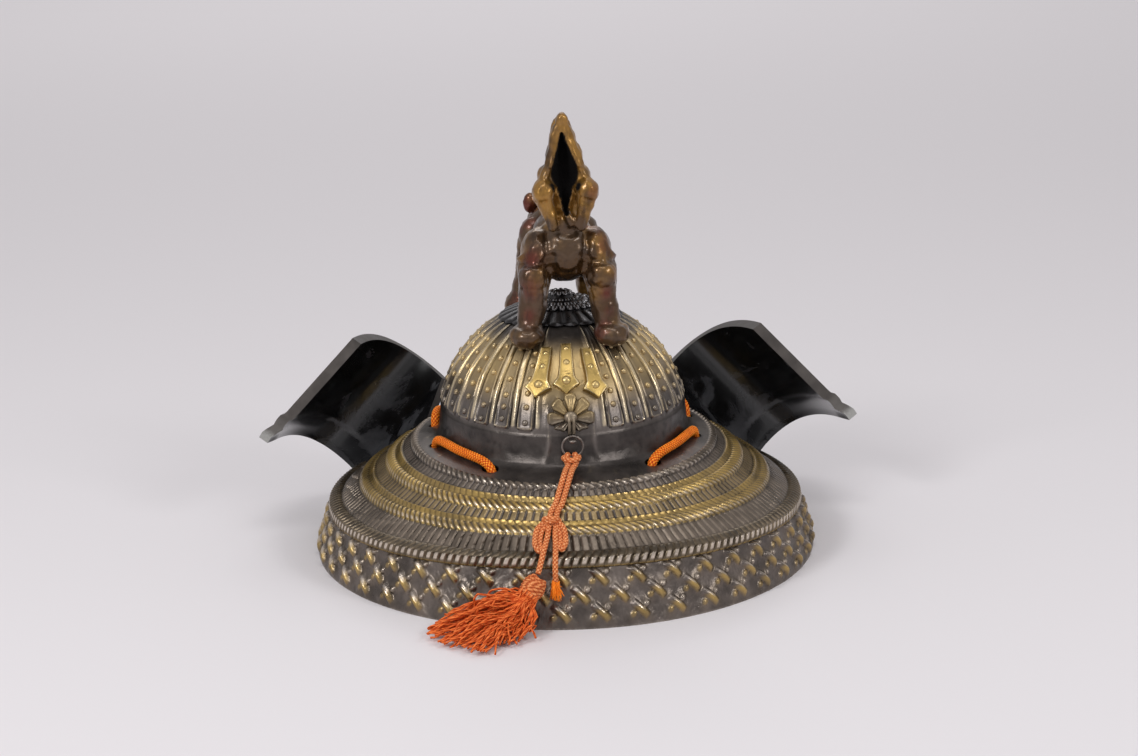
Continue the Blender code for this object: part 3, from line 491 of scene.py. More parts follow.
class SharedEffects:
    """The node groups that several finishes use, each built once."""

    def __init__(self) -> None:
        """Build the groups."""
        self.patina = self._patina()
        self.grain = self._grain()

    @staticmethod
    def _patina() -> bpy.types.NodeTree:
        """Dark metal, darker where the relief mark is low and brighter where it is high, for rubbing wear
        and painted highlights, with gilding, and darkened where the soot_and_shade mark asks, for sooting
        and painted shade.
        """
        grey = (0.08, 0.08, 0.08)
        inputs = {"Dark": grey, "Mid": grey, "Bright": grey, "Gold": grey, "RubAndHighlight": 0.5, "Scale": 60.0}
        results = {"Color": "Color", "RubbedAndHighlit": "Float", "Mottle": "Float"}
        kit, given, sink = new_group("patina", inputs, results)
        place = kit.place()
        fine = kit.noise(place, 900.0, 3.0, 0.6)
        broad = kit.noise(place, given["Scale"], 5.0, 0.6)
        relief, gilt, soot_and_shade = (kit.attribute(name) for name in MARKS)
        base = kit.blend(kit.ramp(broad, 0.3, 0.7, (0.45, 1.0)), given["Dark"], given["Mid"])
        base = kit.blend(kit.ramp(relief, 0.0, 0.3, (0.8, 0.0)), base, given["Dark"])
        gilding = kit.math("MULTIPLY", gilt, kit.ramp(broad, 0.22, 0.62, (0.55, 1.0)))
        base = kit.blend(gilding, base, given["Gold"])
        speckle = kit.math("MULTIPLY", kit.math("SUBTRACT", fine, 0.5), 0.3)
        # Bright: rubbing wear on proud parts, and a painted highlight wherever a piece paints one into its
        # relief mark.
        high = kit.ramp(kit.math("ADD", relief, speckle), 0.55, 1.05)
        rubbed_and_highlit = kit.math("MULTIPLY", high, given["RubAndHighlight"], clamp=True)
        base = kit.blend(rubbed_and_highlit, base, given["Bright"])
        # Dark again for sooting and for painted shade, as the soot_and_shade mark asks.
        sooty_and_shaded = kit.math("MULTIPLY", soot_and_shade, kit.ramp(broad, 0.1, 0.6, (1.0, 0.75)))
        base = kit.blend(sooty_and_shaded, base, given["Dark"])
        kit.wire(sink, {"Color": base, "RubbedAndHighlit": rubbed_and_highlit, "Mottle": broad})
        return kit.tree

    @staticmethod
    def _grain() -> bpy.types.NodeTree:
        """Fine bump of cast or brushed metal."""
        inputs = {"Scale": 1400.0, "Depth": 0.3, "Pits": 0.3}
        kit, given, sink = new_group("grain", inputs, {"Normal": "Vector"})
        place = kit.place()
        fine = kit.noise(place, given["Scale"], 3.0, 0.6)
        pits = kit.ramp(kit.noise(place, 260.0, 3.0, 0.5), 0.58, 0.74, (0.0, -1.0))
        fine = kit.math("MULTIPLY", fine, given["Depth"])
        height = kit.math("ADD", fine, kit.math("MULTIPLY", pits, given["Pits"]))
        kit.wire(sink, {"Normal": kit.bump(height, 0.6, 0.00035)})
        return kit.tree

    def cast(self, kit: Tree, depth: float, pits: float) -> bpy.types.NodeSocket:
        """Normal of a cast surface in a material."""
        return kit.add("Group", {"Depth": depth, "Pits": pits}, node_tree=self.grain).outputs["Normal"]


def new_material(name: str) -> tuple[bpy.types.Material, Tree, bpy.types.Node]:
    """Start a material with its Principled shader."""
    material = bpy.data.materials.new(name)
    material.use_nodes = True
    return material, Tree(material.node_tree), material.node_tree.nodes["Principled BSDF"]


@dataclass(frozen=True)
class CastFinish:
    """Patinated cast metal; its bright colour stands for rubbing wear and for painted highlights, its dark
    one also for painted shade.
    """

    name: str
    dark: Colour
    mid: Colour
    bright: Colour
    gold: Colour
    rub_and_highlight: float = 0.5
    scale: float = 60.0
    roughness: float = 0.38
    rough_range: float = 0.16
    metallic: float = 0.85
    grain: float = 0.35
    pits: float = 0.35

    def material(self, shared: SharedEffects) -> bpy.types.Material:
        """Build the material."""
        material, kit, shader = new_material(self.name)
        inputs = {"Dark": self.dark, "Mid": self.mid, "Bright": self.bright, "Gold": self.gold}
        inputs |= {"RubAndHighlight": self.rub_and_highlight, "Scale": self.scale}
        patina = kit.add("Group", inputs, node_tree=shared.patina).outputs
        rough = kit.ramp(patina["Mottle"], 0.3, 0.7, (self.roughness, self.roughness + self.rough_range))
        rough = kit.math("SUBTRACT", rough, kit.math("MULTIPLY", patina["RubbedAndHighlit"], 0.12))
        kit.wire(shader, {"Base Color": patina["Color"], "Roughness": rough, "Metallic": self.metallic})
        kit.wire(shader, {"Normal": shared.cast(kit, self.grain, self.pits)})
        return material


@dataclass(frozen=True)
class LacquerFinish:
    """Glossy black lacquer with cloudy grey wear."""

    name: str
    black: Colour = (0.0035, 0.0035, 0.0038)
    cloud: Colour = (0.052, 0.053, 0.058)
    lower: Colour = (0.03, 0.031, 0.034)
    scale: float = 42.0

    def material(self, shared: SharedEffects) -> bpy.types.Material:
        """Build the material."""
        material, kit, shader = new_material(self.name)
        place = kit.place()
        cloud = kit.noise(place, self.scale, 5.0, 0.6, Distortion=0.9)
        fine = kit.noise(place, 700.0, 3.0)
        worn = kit.math("ADD", cloud, kit.math("MULTIPLY", kit.attribute("soot_and_shade"), 0.2))
        mask = kit.math("MULTIPLY", kit.ramp(worn, 0.57, 0.72), kit.ramp(fine, 0.2, 0.7, (0.75, 1.0)))
        colour = kit.blend(kit.attribute("gilt"), kit.blend(mask, self.black, self.cloud), self.lower)
        rough = kit.ramp(mask, 0.0, 1.0, (0.2, 0.5))
        kit.wire(shader, {"Base Color": colour, "Roughness": rough, "Metallic": 0.0})
        kit.wire(shader, {"Normal": shared.cast(kit, 0.08, 0.06), "Coat Weight": 0.35})
        kit.wire(shader, {"Coat Roughness": 0.18})
        return material


@dataclass(frozen=True)
class GlazeFinish:
    """Glossy brown bronze with amber and wine-red glaze, and near-black painted shade where the
    soot_and_shade mark asks.
    """

    name: str
    brown: Colour = (0.080, 0.038, 0.012)
    grey: Colour = (0.098, 0.058, 0.031)
    amber: Colour = (0.36, 0.185, 0.036)
    wine: Colour = (0.15, 0.014, 0.012)
    streak: Colour = (0.02, 0.011, 0.006)
    # slot: near-black painted shade for the plume's slot, seam and creases.
    slot: Colour = (0.004, 0.003, 0.003)

    def material(self, shared: SharedEffects) -> bpy.types.Material:
        """Build the material."""
        material, kit, shader = new_material(self.name)
        broad = kit.noise(kit.place(), 38.0, 4.0, 0.55)
        other = kit.noise(kit.place(Location=(3.1, 1.7, 0.4)), 46.0, 4.0)
        third = kit.noise(kit.place(Location=(0.3, 5.2, 2.4)), 55.0, 3.0)
        streak = kit.noise(kit.place(Scale=(1.0, 1.0, 0.3)), 210.0, 3.0)
        relief, gilt, soot_and_shade = (kit.attribute(name) for name in MARKS)
        colour = kit.blend(kit.ramp(broad, 0.36, 0.62), self.brown, self.grey)
        amber = kit.ramp(kit.math("ADD", other, kit.math("MULTIPLY", gilt, 0.1)), 0.46, 0.66)
        amber = kit.math("MULTIPLY", amber, kit.ramp(gilt, 0.0, 1.0, (0.6, 0.92)))
        colour = kit.blend(amber, colour, self.amber)
        stain = kit.math("MULTIPLY", relief, kit.ramp(other, 0.3, 0.6, (1.0, 0.55)))
        wine = kit.math("MAXIMUM", kit.math("MULTIPLY", kit.ramp(third, 0.58, 0.68), 0.4), stain)
        colour = kit.blend(wine, colour, self.wine)
        colour = kit.blend(kit.ramp(streak, 0.47, 0.72, (0.0, 0.6)), colour, self.streak)
        # Painted shade: near-black, rough and without coat where the soot_and_shade mark asks.
        rough = kit.math("MAXIMUM", kit.ramp(broad, 0.3, 0.7, (0.25, 0.4)), soot_and_shade)
        coat = kit.ramp(soot_and_shade, 0.2, 0.8, (0.4, 0.0))
        colour = kit.blend(soot_and_shade, colour, self.slot)
        kit.wire(shader, {"Base Color": colour, "Roughness": rough, "Metallic": 0.7})
        kit.wire(shader, {"Normal": shared.cast(kit, 0.15, 0.12), "Coat Weight": coat})
        kit.wire(shader, {"Coat Roughness": 0.12})
        return material


@dataclass(frozen=True)
class CordFinish:
    """Braided or twisted thread, with a painted shade in the low gaps between strands and a painted
    highlight on their crowns.
    """

    name: str
    colour: Colour
    # shade is the painted shade of the gaps, light the painted highlight of the crowns.
    shade: Colour
    light: Colour
    fibre: float = 2600.0

    def material(self, shared: SharedEffects) -> bpy.types.Material:
        """Build the material."""
        material, kit, shader = new_material(self.name)
        place = kit.place()
        fibres = kit.noise(place, self.fibre, 2.0, 0.6)
        relief = kit.attribute("relief")
        # Painted shade where the relief mark is low, between the strands.
        colour = kit.blend(kit.ramp(relief, 0.2, 0.72), self.shade, self.colour)
        # glint: a painted highlight where the relief mark is high.
        glint = kit.math("ADD", relief, kit.math("MULTIPLY", fibres, 0.3))
        colour = kit.blend(kit.ramp(glint, 0.85, 1.1), colour, self.light)
        colour = kit.blend(kit.ramp(kit.noise(place, 160.0, 3.0), 0.4, 0.7, (0.0, 0.25)), colour, self.shade)
        kit.wire(shader, {"Base Color": colour, "Roughness": kit.ramp(fibres, 0.3, 0.7, (0.55, 0.8))})
        kit.wire(shader, {"Normal": kit.bump(fibres, 0.5, 0.00025), "Specular IOR Level": 0.2})
        return material


class Finish(Enum):
    """Every finish of the helmet; a cast one has dark, middle, bright and gold colours, its bright one also
    a painted highlight; a cord one has its colour, a painted shade and a painted highlight.
    """

    BOWL = CastFinish(
        "rubbed_olive_brass", (0.022, 0.019, 0.018), (0.19, 0.165, 0.15),
        (0.82, 0.68, 0.46), (0.54, 0.385, 0.165),
        rub_and_highlight=0.8, scale=70.0, roughness=0.27,
    )
    IRON = CastFinish(
        "dark_cast_iron", (0.030, 0.026, 0.024), (0.20, 0.168, 0.148),
        (0.80, 0.70, 0.60), (0.62, 0.41, 0.10),
        rub_and_highlight=0.8, scale=80.0, roughness=0.27,
    )
    BLACK = CastFinish(
        "blackened_rosette", (0.010, 0.010, 0.011), (0.055, 0.052, 0.054),
        (0.42, 0.41, 0.42), (0.1, 0.08, 0.03),
        rub_and_highlight=0.75, roughness=0.25,
    )
    GILT = CastFinish(
        "worn_gilt", (0.09, 0.06, 0.025), (0.34, 0.235, 0.10), (0.95, 0.80, 0.52), (0.52, 0.36, 0.115),
        rub_and_highlight=0.75, scale=110.0, roughness=0.24,
    )
    EDGE = CastFinish(
        "taupe_edge", (0.045, 0.04, 0.037), (0.11, 0.098, 0.09), (0.5, 0.5, 0.48), (0.16, 0.15, 0.14),
        rub_and_highlight=0.8, scale=120.0, roughness=0.36, metallic=0.6,
    )
    WIRE = CastFinish(
        "darkened_wire", (0.05, 0.042, 0.036), (0.27, 0.235, 0.21), (0.5, 0.46, 0.42), (0.2, 0.16, 0.1),
        rub_and_highlight=0.4, scale=200.0, roughness=0.28, metallic=0.95,
    )
    # Cord finishes: colour, painted shade, painted highlight.
    CHIN = CordFinish("bright_orange_braid", (1.0, 0.22, 0.006), (0.36, 0.02, 0.001), (1.0, 0.60, 0.09))
    SALMON = CordFinish("salmon_braid", (0.80, 0.27, 0.085), (0.38, 0.062, 0.014), (1.0, 0.64, 0.36))
    THREAD = CordFinish("orange_thread", (0.88, 0.19, 0.036), (0.48, 0.06, 0.008), (1.0, 0.38, 0.13))
    LACQUER = LacquerFinish("black_lacquer_face")
    GLAZE = GlazeFinish("glazed_bronze_figure")


Palette = dict[Finish, bpy.types.Material]


@dataclass
class Bowl:
    """The riveted bowl with its band and flare."""

    palette: Palette
    columns: int = 800
    dome_rows: int = 84
    flare_rows: int = 22
    rib_half: float = 1.35
    rib_height: float = 0.85
    inset: tuple[float, float] = (0.5, 1.4)
    lip: float = 0.75
    panel_foot: float = 71.2
    corner: float = 2.0
    rivet_latitudes: tuple[float, ...] = (10.0, 17.2, 24.4, 33.0, 41.0, 48.5)
    rivet_radius: float = 1.5
    holes: tuple[tuple[float, float], ...] = ((36.0, 62.6), (60.6, 17.4), (60.1, -16.5), (55.5, -33.5))
    leads: tuple[tuple[float, float], ...] = ((1.6, -2.4), (-0.9, 2.1), (0.0, 0.0), (0.0, 0.0))
    hole_radius: float = 3.3
    fold_x: float = 10.2
    crown: tuple[float, float] = (radians(44), radians(60))
    stations: list[tuple[str, float]] = field(default_factory=list)

    def build(self) -> None:
        """Build the bowl and its rivets."""
        top = math.acos(FORM.hole_radius / FORM.half_length)
        foot = math.asin((FORM.flare_top - FORM.centre_z) / FORM.rise)
        self.stations = [("dome", mix(top, foot, row / self.dome_rows)) for row in range(self.dome_rows)]
        self.stations += [("flare", row / self.flare_rows) for row in range(self.flare_rows + 1)]
        self.stations += [("under", share) for share in (1.0, 0.96, 0.9, 0.8)] + [("band", 0.5)]
        self.stations += [("inner", radians(angle)) for angle in (6, 16, 28, 40, 54, 68)]
        self.stations += [("inner", top), ("dome", top)]
        shape = Sculptor()
        shape.skin(self.columns, len(self.stations) - 1, self._surface)
        bowl = shape.publish("bowl_shell", "olive_brass", [self.palette[Finish.BOWL]], ["bowl"])
        carve(bowl, self._hole_tool())
        self._rivets()

    def _panel(self, angle: float, latitude: float) -> tuple[float, float, bool]:
        """Distance across a panel, half its width and whether the place is in the ribbed part."""
        turn = (angle % (2 * pi)) - FORM.field_angle
        speed = cos(latitude) * math.hypot(FORM.half_width * cos(angle), FORM.half_length * sin(angle))
        if turn < 0 or turn > FORM.pitch * FORM.panels:
            return abs(turn if turn < 0 else turn - FORM.pitch * FORM.panels) * speed, 0.0, False
        across = (turn / FORM.pitch) % 1.0 - 0.5
        return across * FORM.pitch * speed, FORM.pitch * speed / 2, True

    def relief(self, angle: float, latitude: float) -> tuple[float, Marks]:
        """Height of the bowl's ornament and its marks at one place."""
        z = FORM.centre_z + FORM.rise * sin(latitude)
        across, half, ribbed = self._panel(angle, latitude)
        size = min(1.0, max(0.45, cos(latitude) / 0.62))
        fade = 1.0 - ease(radians(60), radians(70), latitude)
        low = ease(86.0, 73.0, z)
        edge = half - abs(across) if ribbed else across
        rib = max(0.0, 1.0 - (edge / (self.rib_half * size)) ** 2) ** 0.6
        rib *= ease(self.panel_foot - 0.4, self.panel_foot + 2.4, z) * fade
        rib *= 1.0 if ribbed else 0.4 + 0.6 * low
        degrees = math.degrees(angle)
        dent = noise.noise(Vector((across * 0.25, z * 0.12, degrees * 0.11)))
        height = rib * self.rib_height * size * (1.0 - 0.45 * low) * (1.0 + 0.35 * dent) + 0.12 * dent
        groove = line = 0.0
        plain = 0.85
        if ribbed:
            dx = abs(across) - half + (self.rib_half + 0.55) * size + self.corner
            dz = self.panel_foot + self.corner - z
            gap = (math.hypot(dx, dz) if dx > 0 and dz > 0 else max(dx, dz)) - self.corner
            line, groove = bell(gap + 0.7, 0.55) * fade, bell(gap - 0.2, 0.33) * fade
            height += self.lip * line * (0.25 + 0.75 * low) - 0.45 * groove
            height += (0.2 if gap < -0.3 else 0.0) * fade
            cloud = 0.5 + 0.5 * noise.noise(Vector((across * 0.2, z * 0.06, degrees * 0.05)))
            plain = 0.4 + 0.55 * cloud
        rub_and_highlight = max(rib, line * (0.15 + 0.85 * low))
        # Darker and ungilded towards the crown, and darker at the band's foot and in the grooves.
        crown = ease(*self.crown, latitude)
        gilt = ease(77.0, 94.0, z) * (1.0 - crown) * mix(plain, 1.0, rib)
        soot_and_shade = max(crown * 0.75, 0.3 * ease(73.5, 69.5, z), 0.9 * groove)
        fold = self._fold(angle, abs(FORM.dome(angle, latitude).x), self.fold_x) * ease(83.0, 78.0, z)
        relief = 0.32 + 0.62 * rub_and_highlight - 0.3 * groove + 0.3 * fold
        soot_and_shade *= (1.0 - 0.6 * rib) * (1.0 - fold)
        return height + 0.55 * fold - self._inset(z), (relief, gilt, soot_and_shade)

    @staticmethod
    def _fold(angle: float, side: float, centre: float) -> float:
        """Strength of the soft folds that flank the back's tongue."""
        return bell(side - centre, 1.0) if cos(angle) > 0 else 0.0

    def _inset(self, z: float) -> float:
        """How far the shell lies inside the plain ellipsoid at a height."""
        return mix(*self.inset, ease(70.0, 82.0, z) * ease(113.0, 98.0, z))

    def _surface(self, u: float, row: int) -> tuple[Vector, Marks]:
        """Place and marks of one grid point."""
        angle = 2 * pi * u
        kind, value = self.stations[row]
        inside = (0.2, 0.0, 0.6)
        if kind == "dome":
            height, marks = self.relief(angle, value)
            return FORM.dome(angle, value, 0.0 if row in (0, len(self.stations) - 1) else height), marks
        if kind == "inner":
            return FORM.dome(angle, value, -FORM.wall), inside
        if kind == "under":
            return FORM.flare(angle, value, FORM.flare_wall), inside
        point = FORM.flare(angle, value)
        if kind == "band":
            return point - outward_of(point) * FORM.wall, inside
        fold = self._fold(angle, abs(point.x), self.fold_x + 4.0 * value**2) * ease(0.85, 0.4, value)
        wave = noise.noise(point * 0.22) * 0.35 * sin(pi * min(1.0, value * 1.2)) + 0.5 * fold
        relief = 0.28 + 0.25 * noise.noise(point * 0.35) + 0.25 * ease(0.6, 0.9, value) + 0.3 * fold
        soot_and_shade = (0.78 - 0.42 * ease(0.75, 1.0, value)) * (1 - fold)
        return point + outward_of(point) * wave, (relief, 0.0, soot_and_shade)

    def _hole_tool(self) -> bpy.types.Object:
        """The cutter of the chin cord's holes through the flare."""
        bm = bmesh.new()
        radius = self.hole_radius
        for side in (1, -1):
            for (x, y), (lead_x, lead_y) in zip(self.holes, self.leads):
                stretch = Matrix.Diagonal((1 + math.hypot(lead_x, lead_y) / 2 / radius, 1.0, 1.0, 1.0))
                place = Matrix.Translation((side * (x + lead_x / 2), y + lead_y / 2, FORM.flare_edge))
                place @= Matrix.Rotation(math.atan2(lead_y, side * lead_x), 4, "Z") @ stretch
                sizes = {"segments": 32, "radius1": radius, "radius2": radius, "depth": 16.0}
                bmesh.ops.create_cone(bm, cap_ends=True, matrix=place, **sizes)
        to_frame(bm)
        return write("cord_hole_cutter", bm)

    def _rivets(self) -> None:
        """Lay the domed rivets down the panels."""
        shape = Sculptor()
        for panel in range(FORM.panels):
            angle = FORM.field_angle + FORM.pitch * (panel + 0.5)
            for order, degrees in enumerate(self.rivet_latitudes):
                latitude = radians(degrees + 1.1 * sin(panel * 2.1 + order))
                size = self.rivet_radius * min(1.0, 0.55 + cos(latitude) * 0.5)
                inset = self._inset(FORM.centre_z + FORM.rise * sin(latitude))
                centre = FORM.dome(angle, latitude, 0.1 - inset)
                turn = turned(FORM.dome(angle, latitude, 1.0) - FORM.dome(angle, latitude, 0.0))
                shape.ball(centre, (size, size, size * 0.9), 12, turn)
        for vert in shape.bm.verts:
            z = vert.co.z
            shape.mark([vert], (0.66, 0.9 * ease(76.0, 86.0, z), 0.4 * ease(104.0, 110.0, z)))
        shape.publish("bowl_rivets", "olive_brass", [self.palette[Finish.BOWL]])


class Band(Enum):
    """Kinds of ring down the lames."""

    ROPE = "rope"
    FLUTE = "flute"
    FLAT = "flat"
    SCALE = "scale"


@dataclass(frozen=True)
class Ring:
    """One ring of the lames."""

    start: float
    end: float
    kind: Band
    pitch: float
    slant: float
    height: float
    gilt: float

    @property
    def middle(self) -> float:
        """The ring's middle."""
        return (self.start + self.end) / 2


RINGS = (
    Ring(0.000, 0.090, Band.ROPE, 3.8, 0.62, 1.6, 0.10),
    Ring(0.090, 0.185, Band.FLUTE, 3.5, 0.0, 0.50, 0.05),
    Ring(0.185, 0.262, Band.FLAT, 3.55, 0.3, 0.45, 0.8),
    Ring(0.262, 0.385, Band.ROPE, 3.55, 0.88, 1.7, 1.0),
    Ring(0.385, 0.505, Band.FLUTE, 3.6, 0.0, 0.42, 0.38),
    Ring(0.505, 0.570, Band.FLAT, 3.5, 0.3, 0.45, 0.85),
    Ring(0.570, 0.685, Band.ROPE, 3.45, 0.75, 1.5, 0.85),
    Ring(0.685, 0.905, Band.SCALE, 3.9, 0.08, 1.0, 0.06),
)


@dataclass
class NeckGuard:
    """The roped lames and the lattice apron."""

    palette: Palette
    columns: int = 1150
    slope_rows: int = 66
    apron_rows: int = 46
    pitch: float = 17.0
    lattice_rows: tuple[float, ...] = (0.255, 0.51, 0.765)
    first_crossing: float = 9.6
    rope_start: float = 0.905
    rope_end: float = 0.13
    rope_radius: float = 3.5
    rope_pitch: float = 3.75
    rope_slant: float = 0.55
    angles: list[float] = field(default_factory=list)
    runs: dict[float, list[float]] = field(default_factory=dict)

    def build(self) -> None:
        """Build the lames and the apron."""
        self._even_angles()
        for middle in {ring.middle for ring in RINGS}:
            self.runs[middle] = self._run_along(lambda angle, share=middle: FORM.slope(angle, share))
        self.runs[1.0] = self._run_along(FORM.ridge)
        self.runs[2.0] = self._run_along(lambda angle: FORM.apron(angle, 0.5))
        lames, apron = Sculptor(), Sculptor()
        lames.skin(self.columns, self.slope_rows + 4, self._lame)
        lames.publish("guard_lames", "aged_iron", [self.palette[Finish.IRON]], ["neck_guard"])
        apron.skin(self.columns, self.apron_rows + 4, self._apron)
        apron.publish("guard_apron", "aged_iron", [self.palette[Finish.IRON]])

    def _even_angles(self) -> None:
        """Angles at even steps along the ridge."""
        fine = 4000
        steps = [FORM.guard_end * (2 * index / fine - 1) for index in range(fine + 1)]
        runs = [0.0]
        for start, end in zip(steps, steps[1:]):
            runs.append(runs[-1] + (FORM.ridge(end) - FORM.ridge(start)).length)
        place = 0
        for column in range(self.columns + 1):
            wanted = runs[-1] * column / self.columns
            while place < fine - 1 and runs[place + 1] < wanted:
                place += 1
            span = runs[place + 1] - runs[place]
            self.angles.append(mix(steps[place], steps[place + 1], min(1.0, (wanted - runs[place]) / span)))

    def _run_along(self, line: Callable[[float], Vector]) -> list[float]:
        """Length from the back's middle to each column, along one ring."""
        runs = [0.0]
        for start, end in zip(self.angles, self.angles[1:]):
            runs.append(runs[-1] + (line(end) - line(start)).length)
        return [run - runs[self.columns // 2] for run in runs]

    def _ridge_rope(self, column: int, turn: float) -> tuple[Vector, Marks]:
        """Place and marks on the rope that wraps the ridge, with a painted highlight on the lower half of
        each bead and painted shade over the rest.

        Args:
            column: The column of the grid.
            turn: From 0 at the lames' side to 1 on the apron.

        Returns:
            The point and its marks.
        """
        angle = self.angles[column]
        start, end = FORM.slope(angle, self.rope_start), FORM.apron(angle, self.rope_end)
        ridge = FORM.ridge(angle)
        first = FORM.slope(angle, self.rope_start, 1.0) - start
        last = FORM.apron(angle, self.rope_end, 1.0) - end
        phase = (self.runs[1.0][column] / self.rope_pitch - self.rope_slant * (2 * turn - 1)) % 1.0
        gap = min(phase, 1 - phase)
        bead = 1 - bell(gap, 0.12)
        base = start.lerp(ridge, ease(0, 0.5, turn)) if turn < 0.5 else ridge.lerp(end, ease(0.5, 1, turn))
        proud = sin(pi * turn) ** 0.55 * self.rope_radius
        proud *= 0.24 + 0.26 * bead + 0.16 * sin(pi * phase) ** 0.5
        wear = 0.5 + 0.5 * noise.noise(Vector((column * 0.03, 7.0, 0.3)))
        # A painted highlight on each bead's lower half, between the separators, varied by the wear noise.
        painted_highlight = ease(0.12, 0.3, gap) * ease(0.26, 0.58, turn) * ease(0.9, 0.78, turn)
        rim = (1 - bead) * ease(0.05, 0.25, turn) * ease(0.95, 0.8, turn)
        thread = min(1.0, bell(turn - 0.06, 0.05) + 0.7 * ease(0.86, 0.92, turn))
        relief = 0.16 + 0.4 * rim + 0.84 * painted_highlight * mix(0.8, 1.0, wear) + 0.4 * thread
        # Painted shade: the rope is darkened wherever the highlight, the threads and the rims are not.
        soot_and_shade = 0.75 * (1 - painted_highlight) * (1 - thread) * (1 - 0.7 * rim)
        out = (first * (1 - turn) + last * turn).normalized()
        return base + out * proud, (min(relief, 1.0), 0.16 + 0.5 * ease(0.84, 0.92, turn), soot_and_shade)

    def _ring_relief(self, column: int, share: float) -> tuple[float, Marks]:
        """Height and marks of the lames at one place; gaps and valleys are darkened, ropes get a painted
        highlight towards each bead's lower end and the scales one along a flute edge.
        """
        ring = next((ring for ring in RINGS if share < ring.end), RINGS[-1])
        run = self.runs[ring.middle][column]
        t = 2 * (share - ring.start) / (ring.end - ring.start) - 1
        edge = bell(1 - abs(t), 0.16)
        phase = (run / ring.pitch + ring.slant * t) % 1.0
        gap = min(phase, 1 - phase)
        wear = 0.5 + 0.5 * noise.noise(Vector((run * 0.05, share * 3.0, 0.3)))
        if ring.kind is Band.ROPE:
            bead = 1 - bell(gap, 0.17)
            crown = math.sqrt(max(0.0, 1 - t * t))
            swell = sin(pi * phase) ** 0.6
            height = ring.height * crown * (0.3 + 0.7 * bead * (0.55 + 0.45 * swell))
            # Painted highlight brightening towards each bead's lower end.
            relief = 0.2 + bead * crown * (0.34 + 0.85 * ease(-0.1, 0.75, t) * mix(0.4, 1.0, wear) * swell)
            return height, (relief, ring.gilt * bead * mix(0.7, 1.0, wear), 0.5 * (1 - bead) + 0.4 * edge)
        if ring.kind is Band.FLUTE:
            wave = ease(0.03, 0.42, 0.5 + 0.5 * cos(2 * pi * phase))
            height = ring.height * (wave - 0.55) * (1 - edge)
            return height, (0.24 + 0.36 * wave, ring.gilt * wave, 0.5 * (1 - wave) + 0.45 * edge)
        if ring.kind is Band.FLAT:
            line = bell(gap, 0.11)
            bead = bell(t + 0.62, 0.3) * (1 - line)
            relief = 0.34 - 0.2 * line + 0.5 * bead * wear
            soot_and_shade = max(0.7 * edge, 0.75 * line) * (1 - bead)
            height = ring.height * (1 - edge) - 0.25 * line + 0.5 * bead
            return height, (relief, ring.gilt * mix(0.6, 1.0, wear), soot_and_shade)
        saw = ease(0.0, 0.14, phase) * (1 - ease(0.7, 1.0, phase) * 0.9)
        # A painted highlight along one edge of each scale flute.
        relief = 0.2 + 0.26 * saw + 0.22 * bell(phase - 0.2, 0.09) * wear
        height = ring.height * (saw - 0.6) * (1 - 0.7 * edge)
        return height, (relief, ring.gilt, 0.6 * (1 - saw) + 0.4 * edge)

    def _lame(self, u: float, row: int) -> tuple[Vector, Marks]:
        """Place and marks of one point round the lames' section."""
        column = round(u * self.columns)
        angle = self.angles[column]
        if row > self.slope_rows:
            top = self._ring_relief(column, 0.0)[0]
            inside = ((0.96, -3.0), (0.5, -FORM.guard_wall), (0.06, -FORM.guard_wall), (0.0, top))
            return FORM.slope(angle, *inside[row - self.slope_rows - 1]), PLAIN
        share = row / self.slope_rows
        if share >= self.rope_start:
            return self._ridge_rope(column, 0.5 * (share - self.rope_start) / (1 - self.rope_start))
        height, marks = self._ring_relief(column, share)
        return FORM.slope(angle, share, height), marks

    def _crossings(self, run: float, row_share: float, depth: float) -> tuple[float, float, float]:
        """Height, rubbing wear and painted highlights, and gilding of the crossing straps near one place of
        the apron.
        """
        forms = [(0.0, 0.0, 0.0)]
        for order, centre in enumerate(self.lattice_rows):
            dw = (row_share - centre) * depth
            if abs(dw) > 8.0:
                continue
            offset = self.first_crossing + (self.pitch / 2 if order % 2 else 0.0)
            ds = (run - offset + self.pitch / 2) % self.pitch - self.pitch / 2
            along, across = (dw - ds) * 0.7071, (dw + ds) * 0.7071
            web = bell(min(abs(along), abs(across)), 2.3) * ease(9.5, 4.0, math.hypot(ds, dw))
            forms.append((web * 0.6, web * 0.06, web * 0.08))
            bow = across - 0.012 * along * along + 0.1
            long = (max(0.0, 1 - (along / 5.2) ** 2) * max(0.0, 1 - (bow / 1.8) ** 2)) ** 0.5
            # A painted highlight along the strap's upper edge.
            crest_highlight = ease(0.5, -0.9, bow) * ease(-1.8, -1.3, bow) * ease(3.6, -0.5, along)
            gold = ease(-3.2, 0.4, along + 0.8 * bow)
            forms.append((long * 2.6, long * (0.12 + 0.75 * crest_highlight), long * gold))
            # Two side bumps: the upper-right one gets the stronger painted highlight, the lower-left one
            # more gilding.
            for sign, size, rub_and_highlight, gilt in ((1, 1.2, 0.15, 0.6), (-1, 1.7, 0.5, 0.1)):
                a, c = across - sign * 3.6, along + 0.8 * sign
                bump = max(0.0, 1 - (a / 1.9) ** 2 - (c / 1.5) ** 2) ** 0.55
                forms.append((bump * size, bump * rub_and_highlight, bump * gilt))
        return max(forms, key=lambda form: form[0])

